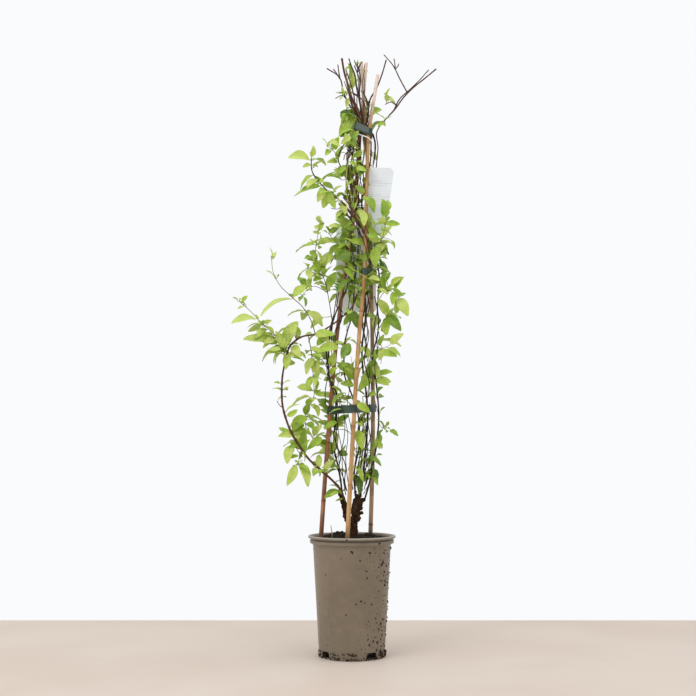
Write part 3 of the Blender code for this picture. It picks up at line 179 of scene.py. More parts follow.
# Cloudy variation between 0 and 1, at a scale given in patches a metre.
mottle = Effect("mottle", {"Place": None, "Scale": 20.0, "Detail": 3.0, "Low": 0.35, "High": 0.65},
                ["Amount"])
cloud = mottle.add("ShaderNodeTexNoise", {"Vector": mottle.given["Place"], "Scale": mottle.given["Scale"],
                                          "Detail": mottle.given["Detail"]}).outputs["Fac"]
mottle.give("Amount", mottle.between(cloud, mottle.given["Low"], mottle.given["High"]))


class Finish(Nodes):
    """A new material."""

    def __init__(self, name, roughness=0.5):
        self.material = bpy.data.materials.new(name)
        self.material.use_nodes = True
        super().__init__(self.material.node_tree)
        self.shader = self.tree.nodes["Principled BSDF"].inputs
        self.put("Roughness", roughness)

    def put(self, label, value):
        self.feed(self.shader[label], value)

    def place(self):
        return self.add("ShaderNodeTexCoord").outputs["Object"]

    def clouds(self, scale, detail=3.0, low=0.3, high=0.7):
        values = {"scale": scale, "detail": detail, "low": low, "high": high}
        return self.effect(mottle, place=self.place(), **values)["Amount"]


class Shape:
    """Points, faces and named values on the points, gathered from the parts of one piece."""

    def __init__(self, *labels):
        self.points = []
        self.faces = []
        self.marks = {label: [] for label in labels}

    def take(self, points, faces, **marks):
        base = len(self.points)
        self.points.extend(points)
        self.faces.extend([base + index for index in face] for face in faces)
        for label, values in self.marks.items():
            given = marks.get(label, 0.0)
            values.extend(given if isinstance(given, list) else [given] * len(points))

    def piece(self, name, look, crease=None):
        """The mesh object: smooth, apart from edges sharper than the crease in degrees."""
        mesh = bpy.data.meshes.new(name)
        mesh.from_pydata([tuple(point) for point in self.points], [], self.faces)
        for label, values in self.marks.items():
            if isinstance(values[0], Vector):
                kind, field = "FLOAT_VECTOR", "vector"
                values = [tuple(value) for value in values]
            else:
                kind, field = "FLOAT", "value"
            flat = np.array(values, np.float32).ravel()
            mesh.attributes.new(label, kind, "POINT").data.foreach_set(field, flat)
        mesh.materials.append(look.material)
        mesh.shade_smooth()
        if crease:
            mesh.set_sharp_from_angle(angle=math.radians(crease))
        return in_scene(name, mesh)


floor_finish = Finish("pale_floor", roughness=0.55)
clouds = floor_finish.clouds(scale=2.5, low=0.35, high=0.65)
floor_finish.put("Base Color", floor_finish.mixed(clouds, srgb(232, 214, 198), srgb(238, 222, 208)))
floor_shape = Shape()
(left, right), (front, back) = FLOOR_SIDES
corners = [(left, front), (right, front), (right, back), (left, back)]
floor_shape.take([Vector((x, y, -FLOOR_DROP)) for x, y in corners], [[0, 1, 2, 3]])
floor_shape.piece("floor", floor_finish)

# Nursery container: one thin moulding of taupe plastic, tapered, with a rolled rim, a groove and a
# second band under it. Its foot has four notches, and the channel behind them has drain holes.
POT_SIDES = 120
POT_PROFILE = (
    (0, 0), (22, 0), (25, 8), (50, 8), (53, 0), (62.5, 0), (63.5, 1.5), (75.1, 204), (75.5, 204.8),
    (75.5, 206), (75.25, 206.8), (75.7, 214), (78.6, 216.6), (81.6, 217.6), (81.6, 223.3), (79, 223.8),
    (79, 227), (84.6, 227.4), (85, 228.2), (85, 230.4), (84, 231.8), (82, 232), (80, 231.6), (77, 227),
    (73.7, 211), (61.5, 14), (50, 14), (48.5, 10), (26.5, 10), (23, 2), (0, 2),
)
POT_EDGE = 0.35 * MM
NOTCH_ANGLES = (-53.5, 36.5, 126.5, 216.5)
NOTCH_REACH = (49.5 * MM, 70 * MM)
NOTCH_WIDTHS = ((30 * MM, -1 * MM), (21 * MM, 14.5 * MM))
BLOCK_FACES = ((0, 1, 3, 2), (4, 6, 7, 5), (0, 4, 5, 1), (2, 3, 7, 6), (0, 2, 6, 4), (1, 5, 7, 3))
DRAIN_ANGLES = range(20, 380, 60)
DRAIN_CIRCLE = 37 * MM
DRAIN_PROFILE = ((0, 5), (4.5, 5), (4.5, 12.3), (0, 12.3))
DRAIN_SIDES = 24


def round_z(radius, turn, height):
    return Vector((radius * math.cos(turn), radius * math.sin(turn), height))


def closed_faces(rings, sides):
    """The faces of a shape that has one point, then rings of points, then one point."""
    faces = []
    last = 1 + (rings - 1) * sides
    for side in range(sides):
        after = (side + 1) % sides
        faces.append([0, 1 + after, 1 + side])
        for low in range(1, last, sides):
            faces.append([low + side, low + after, low + sides + after, low + sides + side])
        faces.append([last + side, last + after, last + sides])
    return faces


def turned(profile, sides, centre=Vector()):
    """A closed shape turned round Z from (radius, height) points in mm that start and end on the axis."""
    points = [round_z(0, 0, profile[0][1] * MM)]
    for radius, height in profile[1:-1]:
        points += [round_z(radius * MM, math.tau * side / sides, height * MM) for side in range(sides)]
    points.append(round_z(0, 0, profile[-1][1] * MM))
    return [centre + point for point in points], closed_faces(len(profile) - 2, sides)


def keep_result(target):
    """Makes what the piece's modifiers give into its own mesh."""
    graph = bpy.context.evaluated_depsgraph_get()
    finished = bpy.data.meshes.new_from_object(target.evaluated_get(graph))
    target.modifiers.clear()
    target.data = finished


def cut_out(target, tools):
    """Cuts closed shapes out of a piece."""
    holders = []
    for points, faces in tools:
        mesh = bpy.data.meshes.new("cutter")
        mesh.from_pydata([tuple(point) for point in points], [], faces)
        holders.append(in_scene("cutter", mesh))
        step = target.modifiers.new("cut", "BOOLEAN")
        step.operation = "DIFFERENCE"
        step.object = holders[-1]
    keep_result(target)
    for holder in holders:
        bpy.data.objects.remove(holder)


cutters = []
for angle in NOTCH_ANGLES:
    outward = round_z(1, math.radians(angle), 0)
    aside = round_z(1, math.radians(angle + 90), 0)
    corners = []
    for reach in NOTCH_REACH:
        for width, height in NOTCH_WIDTHS:
            for side in (1, -1):
                corners.append(outward * reach + aside * side * width / 2 + Vector((0, 0, height)))
    cutters.append((corners, BLOCK_FACES))
for angle in DRAIN_ANGLES:
    cutters.append(turned(DRAIN_PROFILE, DRAIN_SIDES, round_z(DRAIN_CIRCLE, math.radians(angle), 0)))

# Compost crumbs that cling to a surface: dark specks where a cell's own lot falls under the density.
specks = Effect("specks", {"Place": None, "Scale": 200.0, "Density": 0.1, "Size": 0.3}, ["Mask", "Height"])


def times(nodes, first, *others):
    """The product of some values."""
    for other in others:
        first = nodes.maths("MULTIPLY", first, other)
    return first


def vector_maths(nodes, operation, first, second):
    label = "Scale" if operation == "SCALE" else 1
    return nodes.add("ShaderNodeVectorMath", {0: first, label: second}, operation=operation).outputs[0]


wander = specks.add("ShaderNodeTexNoise", {"Vector": specks.given["Place"], "Scale": 420.0, "Detail": 3.0})
wander = vector_maths(specks, "SUBTRACT", wander.outputs["Color"], (0.5, 0.5, 0.5))
wander = vector_maths(specks, "SCALE", wander, 0.006)
cells = {"Vector": vector_maths(specks, "ADD", wander, specks.given["Place"]), "Scale": specks.given["Scale"]}
cells = specks.add("ShaderNodeTexVoronoi", cells).outputs
lots = specks.add("ShaderNodeSeparateColor", {"Color": cells["Color"]}).outputs
chosen = specks.maths("LESS_THAN", lots["Red"], specks.given["Density"])
reach = times(specks, specks.given["Size"], specks.maths("MULTIPLY_ADD", lots["Green"], 0.8, 0.35))
inside = specks.maths("SUBTRACT", reach, cells["Distance"])
specks.give("Mask", times(specks, chosen, specks.between(inside, 0.0, 0.06)))
specks.give("Height", times(specks, chosen, specks.between(inside, 0.0, 0.3)))


def crumbs_on(look, **values):
    return look.effect(specks, place=look.place(), **values)


def added(nodes, total, *parts):
    """A value with others added to it, each given with its weight."""
    for value, weight in parts:
        total = nodes.maths("MULTIPLY_ADD", value, weight, total)
    return total


def coats(look, colour, *layers):
    """A colour with others laid over it, each given as its mask, its strength and its screen colour."""
    for mask, strength, shade in layers:
        colour = look.mixed(times(look, mask, strength), colour, srgb(*shade))
    return colour


def relief(look, *layers):
    """Bumps laid over one another, each given as its height, its depth in metres and its strength."""
    normal = None
    for height, depth, strength in layers:
        bump = look.add("ShaderNodeBump", {"Strength": strength, "Distance": depth, "Height": height})
        if normal:
            look.feed(bump.inputs["Normal"], normal)
        normal = bump.outputs["Normal"]
    look.put("Normal", normal)


look = Finish("taupe_moulding")
axes = look.add("ShaderNodeSeparateXYZ", {"Vector": look.place()}).outputs
flow = look.clouds(scale=11.0, detail=4.0)
film = look.clouds(scale=55.0, detail=6.0, low=0.45, high=0.75)
patches = look.clouds(scale=26.0, low=0.42, high=0.62)
right_side = look.between(axes["X"], 0.010, 0.078)
right_edge = times(look, look.between(axes["X"], 0.060, 0.074), look.between(axes["Z"], 0.08, 0.19))
foot = look.maths("SUBTRACT", 1.0, look.between(axes["Z"], 0.002, 0.055))
dirty = added(look, 0.05, (right_side, 0.34), (times(look, right_side, patches), 0.45),
              (times(look, foot, patches), 0.60), (right_edge, 0.35))
large = crumbs_on(look, scale=95.0, density=times(look, dirty, 0.85), size=0.30)
small = crumbs_on(look, scale=240.0, density=dirty, size=0.30)
clods = crumbs_on(look, scale=52.0, density=times(look, dirty, 0.28), size=0.24)
dirt = look.maths("MAXIMUM", look.maths("MAXIMUM", large["Mask"], clods["Mask"]), small["Mask"])
# The groove band is painted darker: dirt and painted shade in the recess under the lip.
groove_top = look.maths("SUBTRACT", 1.0, look.between(axes["Z"], 0.2262, 0.2275))
groove_dirt_and_shade = times(look, look.between(axes["Z"], 0.2225, 0.2245), groove_top)
# The lip's top is painted lighter: a painted highlight along the rim.
lip_highlight = look.between(axes["Z"], 0.2290, 0.2312)
# Inside the foot's channel, behind the notches, the colour is painted near black: painted shade.
across = look.add("ShaderNodeCombineXYZ", {"X": axes["X"], "Y": axes["Y"]}).outputs[0]
radius = look.add("ShaderNodeVectorMath", {0: across}, operation="LENGTH").outputs["Value"]
notch_shade = times(look, look.maths("LESS_THAN", radius, 0.0617), look.maths("LESS_THAN", axes["Z"], 0.0152))
colour = look.mixed(flow, srgb(127, 115, 98), srgb(138, 126, 108))
look.put("Base Color", coats(
    look, colour, (film, 0.35, (150, 137, 120)), (groove_dirt_and_shade, 0.4, (52, 44, 34)),
    (times(look, foot, film), 0.5, (104, 90, 72)), (dirt, 1.0, (40, 30, 21)), (lip_highlight, 0.72, (190, 182, 170)),
    (notch_shade, 0.85, (30, 23, 17))))
look.put("Roughness", added(look, 0.33, (film, 0.14), (dirt, 0.45)))
scuffs = look.clouds(scale=900.0, detail=2.0)
lumps = look.maths("MAXIMUM", large["Height"], small["Height"])
relief(look, (scuffs, 0.05 * MM, 0.35), (flow, 0.6 * MM, 0.3), (lumps, 0.9 * MM, 1.0))
shape = Shape()
shape.take(*turned(POT_PROFILE, POT_SIDES))
pot = shape.piece("nursery_pot", look)
cut_out(pot, cutters)
edges = pot.modifiers.new("moulded_edges", "BEVEL")
edges.width = POT_EDGE
edges.segments = 2
edges.limit_method = "ANGLE"
edges.angle_limit = math.radians(35)
keep_result(pot)
pot.data.shade_smooth()
pot.data.set_sharp_from_angle(angle=math.radians(50))
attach(pot, "root")
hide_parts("pot")

# Compost: peat and bark fines, watered and settled, heaped to the left and the back, sunk at the left edge.
# Loose crumbs and bark chips lie on it, and more cling to the pot's foot and its right side.
SOIL_TOP = 225
SOIL_FLOOR = 14.6
SOIL_PROFILE = ((60.9, 0), (72.8, 195))
SOIL_EDGE = 74.6
SOIL_SIDES = 150
SOIL_RINGS = 46
CRUMBS_ON_TOP = 1500
CHIPS_ON_TOP = 90
CRUMB_SIZES = (0.9, 1.2, 1.6, 2.2, 3.0)
CRUMBS_ON_POT = 460
WALL_CRUMB_SIZES = (0.5, 0.6, 0.8, 1.0, 1.7)
POT_FOOT = (63.5, 1.5)
POT_LEAN = (75.7 - 63.5) / (214 - 1.5)
NOTCH_HALF_ANGLE = 14


def soil_height(x, y):
    heap = 2.2 * math.sin(x / 19 + 1.0) * math.cos(y / 23 - 0.5) + 1.6 * math.sin(x / 8.3 + y / 11)
    back = 2.5 * max(0, y) / 70
    edge = -5.0 * max(0, (math.hypot(x, y) - 58) / 16) * (1.4 if x < -30 else 0.6)
    hill = 4.5 * math.exp(-((x + 30) ** 2 + (y - 46) ** 2) / 700)
    return SOIL_TOP + heap + back + edge + hill


def soil_point(radius, turn):
    place = round_z(radius, turn, 0)
    x = radius * math.cos(turn)
    y = radius * math.sin(turn)
    lumps = 2.6 * noise.noise(place / 13) + 1.5 * noise.noise(place / 5) + 0.8 * noise.noise(place / 2.2)
    return Vector((x, y, soil_height(x, y) + lumps)) * MM


turns = [math.tau * side / SOIL_SIDES for side in range(SOIL_SIDES)]
points = [round_z(0, 0, SOIL_FLOOR) * MM]
for radius, lift in SOIL_PROFILE:
    points += [round_z(radius, turn, SOIL_FLOOR + lift) * MM for turn in turns]
for number in range(SOIL_RINGS):
    points += [soil_point(SOIL_EDGE * (1 - number / SOIL_RINGS), turn) for turn in turns]
points.append(soil_point(0, 0))
soil_shape = Shape()
soil_shape.take(points, closed_faces(len(SOIL_PROFILE) + SOIL_RINGS, SOIL_SIDES))

crumb_block = bmesh.new()
bmesh.ops.create_icosphere(crumb_block, subdivisions=1, radius=1.0)
CRUMB_POINTS = [vertex.co.copy() for vertex in crumb_block.verts]
CRUMB_FACES = [[vertex.index for vertex in face.verts] for face in crumb_block.faces]
crumb_block.free()


def crumb(centre, size, rng, flat=1.0):
    """A broken lump: a ball of 20 facets pulled out of round and turned at random."""
    stretch = Vector([rng.uniform(0.6, 1.25) for _ in range(3)])
    stretch.z *= flat
    turn = rng.uniform(0, math.tau)
    seed = Vector([rng.uniform(-50, 50) for _ in range(3)])
    points = []
    for point in CRUMB_POINTS:
        out = 1 + 0.55 * noise.noise(point * 1.3 + seed)
        local = Vector((point.x * stretch.x, point.y * stretch.y, point.z * stretch.z)) * out
        spun = Vector((local.x * math.cos(turn) - local.y * math.sin(turn),
                       local.x * math.sin(turn) + local.y * math.cos(turn), local.z))
        points.append(centre + spun * size)
    return points, CRUMB_FACES


rng = random.Random(11)
for number in range(CRUMBS_ON_TOP + CHIPS_ON_TOP):
    distance = 72 * math.sqrt(rng.random())
    turn = rng.uniform(0, math.tau)
    size = rng.choice(CRUMB_SIZES) * MM * rng.uniform(0.8, 1.2)
    place = soil_point(distance, turn) + Vector((0, 0, size * 0.3))
    if number < CRUMBS_ON_TOP:
        soil_shape.take(*crumb(place, size, rng))
    else:
        soil_shape.take(*crumb(place, size * 1.5, rng, flat=0.35))

soil_look = Finish("compost_fines", roughness=0.95)
damp = soil_look.clouds(scale=45.0, detail=5.0)
grains = soil_look.clouds(scale=420.0, detail=4.0, low=0.35)
fibres = crumbs_on(soil_look, scale=300.0, density=0.07, size=0.3)["Mask"]
colour = soil_look.mixed(damp, srgb(31, 23, 15), srgb(56, 42, 28))
colour = coats(soil_look, colour, (grains, 0.4, (76, 57, 38)), (fibres, 0.6, (128, 104, 76)))
soil_look.put("Base Color", colour)
relief(soil_look, (grains, 0.9 * MM, 0.8), (damp, 1.5 * MM, 0.4))
soil = soil_shape.piece("compost_fill", soil_look, crease=40)
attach(soil, "root")
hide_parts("soil")

clinging = Shape()
for number in range(CRUMBS_ON_POT):
    low_down = number % 5 < 3
    height = rng.uniform(1, 14) if low_down else rng.uniform(18, 213)
    turn = rng.uniform(0, math.tau) if low_down else rng.gauss(-0.55, 0.45)
    if low_down:
        size = rng.uniform(0.8, 2.4)
    else:
        size = rng.choice(WALL_CRUMB_SIZES) * rng.uniform(0.8, 1.2)
    if low_down and number % 4 == 0:
        height = rng.uniform(0.8, 3.2)
    if low_down and math.cos(turn + 0.3) > 0.9:
        size *= 1.3
    from_notch = min(abs((math.degrees(turn) - angle + 180) % 360 - 180) for angle in NOTCH_ANGLES)
    if low_down and height > 4 and from_notch < NOTCH_HALF_ANGLE:
        continue
    height = max(height, size * 1.25)
    wall = POT_FOOT[0] + POT_LEAN * (height - POT_FOOT[1])
    clinging.take(*crumb(round_z(wall + size * 0.25, turn, height) * MM, size * MM, rng))
pot_crumbs = clinging.piece("clinging_crumbs", soil_look, crease=40)
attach(pot_crumbs, "root")

# Three bamboo canes, pushed into the compost and leaned together. Each has a ridge and a dark ring at every
# joint,
# a sawn hollow top, and its own colour: red-brown, light tan and grey-pink.
CANE_RADIUS = 4.1 * MM
CANE_JOINT = 112 * MM
FIRST_JOINTS = (38 * MM, 69 * MM, 100 * MM)
CANE_SIDES = 20
CANE_RING = 4 * MM
CANE_BORE = 0.45
# A joint's rings: how far each is above the joint in mm, how much it swells, and how dark it is.
JOINT_RINGS = (
    (-3.4, 0.0, 0.0), (-2.2, 0.03, 0.3), (-1.1, 0.09, 0.5), (-0.3, 0.15, 0.9), (0.2, 0.13, 1.0),
    (0.7, -0.05, 1.0), (1.2, 0.02, 0.4), (3.2, 0.0, 0.0),
)
JOINT_REACH = 3.5 * MM
CANES = {
    "cane_left": [(-62, -16, 150), (-60, -16, 225), (-41, -15, 492), (-21, -9, 692), (0, -2, 822),
      (17, 8, 1030), (29, 17, 1172)],
    "cane_front": [(-10, -62, 150), (-9, -62, 222), (0, -50, 392), (12, -36, 592), (25, -24, 752),
      (30, -14, 942), (35, -9, 1030), (52, 5, 1144)],
    "cane_right": [(36, 52, 150), (37, 52, 228), (42, 42, 412), (41, 31, 592), (39, 24, 692), (31, 8, 972),
      (27, 2, 1030), (19, -6, 1168)],
}
CANE_COLOURS = {
    "cane_left": ((154, 96, 66), (198, 136, 98), (92, 56, 38)),
    "cane_front": ((206, 156, 96), (224, 184, 128), (150, 102, 58)),
    "cane_right": ((188, 152, 114), (214, 184, 150), (104, 74, 52)),
}


def in_metres(route):
    return [Vector(point) * MM for point in route]


def curve_through(points, spacing):
    """Evenly spaced points on a smooth curve through given ones."""
    fixed = [Vector(point) for point in points]
    fixed = [2 * fixed[0] - fixed[1]] + fixed + [2 * fixed[-1] - fixed[-2]]
    fine = []
    for a, b, c, d in zip(fixed, fixed[1:], fixed[2:], fixed[3:]):
        for step in range(8):
            t = step / 8
            fine.append(0.5 * (2 * b + (c - a) * t + (2 * a - 5 * b + 4 * c - d) * t * t
                               + (3 * b - a - 3 * c + d) * t ** 3))
    fine.append(fixed[-2])
    return even(fine, spacing)


def even(fine, spacing):
    """The same line with its points about one spacing apart and both ends kept."""
    lengths = [(b - a).length for a, b in zip(fine, fine[1:])]
    total = sum(lengths)
    count = max(2, round(total / spacing))
    made = [fine[0].copy()]
    walked = 0.0
    number = 1
    for a, b, length in zip(fine, fine[1:], lengths):
        while number < count and walked + length >= total * number / count:
            made.append(a.lerp(b, (total * number / count - walked) / max(length, 1e-9)))
            number += 1
        walked += length
    made.append(fine[-1].copy())
    return made


def along_line(path):
    """The way along a path at each of its points."""
    ends = zip([path[0]] + path[:-1], path[1:] + [path[-1]])
    return [(after - before).normalized() for before, after in ends]


def ring_faces(rings, sides, first=0):
    """The faces between rings of points that follow one another from the first index on."""
    faces = []
    for low in range(first, first + (rings - 1) * sides, sides):
        for side in range(sides):
            after = (side + 1) % sides
            faces.append([low + side, low + after, low + sides + after, low + sides + side])
    return faces


def tube(path, radii, sides, bore=0.0):
    """A closed tube, with the place of each point in the wood's own length and girth for its grain."""
    across = (path[1] - path[0]).orthogonal().normalized()
    points = []
    grain = []
    walked = 0.0
    for index, (place, along) in enumerate(zip(path, along_line(path))):
        across = (across - along * across.dot(along)).normalized()
        aside = along.cross(across)
        walked += (place - path[max(index - 1, 0)]).length
        for side in range(sides):
            flat = round_z(1, math.tau * side / sides, 0) * radii[index]
            points.append(place + across * flat.x + aside * flat.y)
            grain.append(flat + Vector((0, 0, walked)))
    faces = ring_faces(len(path), sides)
    faces.append(list(range(sides - 1, -1, -1)))
    last = (len(path) - 1) * sides
    if bore:
        for depth in (0.0, 6.0 * radii[-1]):
            for side in range(sides):
                points.append(path[-1] - along * depth + (points[last + side] - path[-1]) * bore)
                grain.append(Vector((0, 0, walked - depth)))
        faces += ring_faces(3, sides, last)
        last += 2 * sides
    faces.append([last + side for side in range(sides)])
    return points, faces, grain


def point_at_height(path, height):
    for a, b in zip(path, path[1:]):
        if a.z <= height <= b.z:
            return a.lerp(b, (height - a.z) / (b.z - a.z))
    return path[-1].copy()


# Fibres that run along the wood: the grain's own place is squeezed along its length.
fibre = Effect("fibre", {"Grain": None, "Scale": 900.0, "Squeeze": 0.04}, ["Amount", "Height"])
squeeze = fibre.add("ShaderNodeCombineXYZ", {"X": 1.0, "Y": 1.0, "Z": fibre.given["Squeeze"]}).outputs[0]
stretched = vector_maths(fibre, "MULTIPLY", fibre.given["Grain"], squeeze)
strands = {"Vector": stretched, "Scale": fibre.given["Scale"], "Detail": 4.0}
strands = fibre.add("ShaderNodeTexNoise", strands).outputs["Fac"]
fibre.give("Amount", fibre.between(strands, 0.35, 0.65))
fibre.give("Height", strands)


def marked(look, name, output="Fac"):
    """A value that the mesh carries on its points."""
    return look.add("ShaderNodeAttribute", attribute_name=name).outputs[output]


def fibres_in(look, **values):
    return look.effect(fibre, grain=marked(look, "grain", "Vector"), **values)


def bamboo_finish(name, plain, pale, dark):
    look = Finish(name)
    height = look.add("ShaderNodeSeparateXYZ", {"Vector": look.place()}).outputs["Z"]
    broad = fibres_in(look, scale=420.0, squeeze=0.05)
    fine = fibres_in(look, scale=1800.0, squeeze=0.03)
    patches = look.clouds(scale=24.0, detail=4.0, low=0.4, high=0.66)
    spots = crumbs_on(look, scale=240.0, density=0.16, size=0.28)["Mask"]
    damp = look.maths("SUBTRACT", 1.0, look.between(height, 0.222, 0.262))
    bleached = look.between(height, 1.035, 1.10)
    colour = look.mixed(broad["Amount"], srgb(*plain), srgb(*pale))
    look.put("Base Color", coats(
        look, colour, (patches, 0.55, dark), (fine["Amount"], 0.22, dark),
        (marked(look, "joint"), 0.75, dark), (spots, 0.55, (74, 50, 34)), (damp, 0.6, (62, 44, 30)),
        (bleached, 0.86, (250, 228, 214))))
    look.put("Roughness", added(look, 0.36, (patches, 0.25)))
    relief(look, (broad["Height"], 0.35 * MM, 0.5), (fine["Height"], 0.12 * MM, 0.5))
    return look


CANE_PATHS = {name: curve_through(in_metres(route), 12 * MM) for name, route in CANES.items()}
for number, (name, path) in enumerate(CANE_PATHS.items()):
    rings = even(path, CANE_RING)
    joints = [path[0].z + FIRST_JOINTS[number] + CANE_JOINT * step for step in range(10)]
    places = []
    for ring in rings:
        if all(abs(ring.z - joint) > JOINT_REACH for joint in joints):
            places.append((ring, 0.0, 0.0))
    for joint in joints:
        for lift, swell, shade in JOINT_RINGS:
            if joint + lift * MM < rings[-1].z - 1 * MM:
                places.append((point_at_height(path, joint + lift * MM), swell, shade))
    places.sort(key=lambda entry: entry[0].z)
    span = rings[-1].z - rings[0].z
    radii = []
    for place, swell, _ in places:
        taper = 1.10 - 0.30 * (place.z - rings[0].z) / span
        uneven = 0.02 * noise.noise(Vector((place.z * 40, number * 9.0, 0)))
        radii.append(CANE_RADIUS * (taper + swell + uneven))
    points, faces, grain = tube([place for place, _, _ in places], radii, CANE_SIDES, bore=CANE_BORE)
    # The inside of the sawn hollow top is marked dark like a joint: painted shade in the bore.
    shades = [shade for _, _, shade in places for _ in range(CANE_SIDES)] + [0.8] * 2 * CANE_SIDES
    shape = Shape("grain", "joint")
    shape.take(points, faces, grain=grain, joint=shades)
    look = bamboo_finish(name + "_skin", *CANE_COLOURS[name])
    cane = shape.piece(name.replace("cane", "bamboo"), look, crease=50)
    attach(cane, "root")
    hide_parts(name)

# Woody crown: an old, knobbly trunk with a knuckle, and a short arm for each stem that grows from it.
# The arms are grown into one skin, then the bark is furrowed and flaked.
STEM_FEET = {
    "stem_arc": ((-13, -6, 296), (-16, -9, 310), 2.3),
    "stem_left": ((-19, 6, 312), (-21, 7, 328), 1.9),
    "stem_middle": ((6, -6, 318), (5, -8, 334), 1.6),
    "stem_tall": ((17, 2, 314), (20, 3, 330), 2.0),
    "stem_right": ((26, 10, 304), (31, 13, 316), 1.8),
}
SHOULDERS = ((-14, 0, 280), (-14, 0, 280), (9, -1, 296), (11, 0, 297), (11, 0, 290))
CROWN = (
    ([(3, -4, 190), (4, -3, 205), (5, -2, 232), (4, -2, 258), (6, -1, 276)], (6.2, 6.6, 6.9, 6.3, 7.2)),
    ([(5, -2, 268), (8, -2, 284), (10, 0, 299), (12, 0, 306)], (6.5, 9.0, 7.5, 4.0)),
    ([(3, -2, 240), (-5, -2, 254), (-11, -1, 268), (-14, 0, 284)], (5.5, 5.8, 5.0, 4.6)),
    ([(12, 0, 284), (20, -3, 283)], (4.5, 3.2)),
    ([(7, -4, 284), (14, -5, 292), (16, -4, 301)], (8.0, 8.5, 5.0)),
    ([(12, -4, 272), (20, -6, 276)], (4.0, 2.6)),
    ([(-8, -3, 262), (-16, -5, 270)], (5.0, 3.0)),
    ([(-13, -2, 280), (-17, -4, 296)], (5.6, 4.2)),
    ([(-14, 0, 284), (-19, -4, 300), (-24, -11, 316)], (5.0, 4.0, 2.6)),
    ([(10, -3, 298), (13, -3, 311)], (6.2, 3.4)),
    ([(15, -2, 290), (22, 2, 303)], (5.0, 3.0)),
    ([(8, -3, 262), (14, -5, 268)], (6.8, 4.4)),
)
CROWN_VOXEL = 1.0 * MM
BARK_DEPTH = 2.4


def foot_of(name):
    """Where a stem leaves the crown, its way there and its radius."""
    start, onward, radius = STEM_FEET[name]
    start = Vector(start) * MM
    way = (Vector(onward) * MM - start).normalized()
    return start, way, radius * MM


shape = Shape()
for route, radii in CROWN:
    shape.take(*tube(in_metres(route), [radius * MM for radius in radii], 14)[:2])
for name, shoulder in zip(STEM_FEET, SHOULDERS):
    start, way, radius = foot_of(name)
    arm = [Vector(shoulder) * MM, start - way * 6 * MM, start + way * 1 * MM]
    shape.take(*tube(arm, [radius * 1.7, radius * 1.35, radius * 1.08], 12)[:2])

look = Finish("old_bark", roughness=0.85)
look.put("Specular IOR Level", 0.2)
furrows = look.effect(fibre, grain=look.place(), scale=520.0, squeeze=0.25)
flakes = look.effect(fibre, grain=look.place(), scale=1500.0, squeeze=0.18)
worn = look.clouds(scale=90.0, detail=4.0, low=0.42, high=0.68)
colour = look.mixed(furrows["Amount"], srgb(24, 12, 5), srgb(78, 48, 27))
look.put("Base Color", coats(look, colour, (worn, 0.4, (110, 82, 56)), (flakes["Amount"], 0.3, (28, 19, 13))))
relief(look, (furrows["Height"], 1.2 * MM, 0.8), (flakes["Height"], 0.4 * MM, 0.8))
crown = shape.piece("gnarled_crown", look)
skin = crown.modifiers.new("grown_together", "REMESH")
skin.mode = "VOXEL"
skin.voxel_size = CROWN_VOXEL
keep_result(crown)
crown.data.materials.clear()
crown.data.materials.append(look.material)
for vertex in crown.data.vertices:
    at = vertex.co / MM
    ridge = noise.noise(Vector((at.x / 2.6, at.y / 2.6, at.z / 9)))
    knobs = noise.noise(at / 6.5)
    crust = noise.noise(at / 1.7)
    vertex.co = vertex.co + vertex.normal * (ridge * 0.8 + knobs * 1.0 + crust * 0.5) * BARK_DEPTH * MM
crown.data.shade_smooth()
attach(crown, "root")
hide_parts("crown")

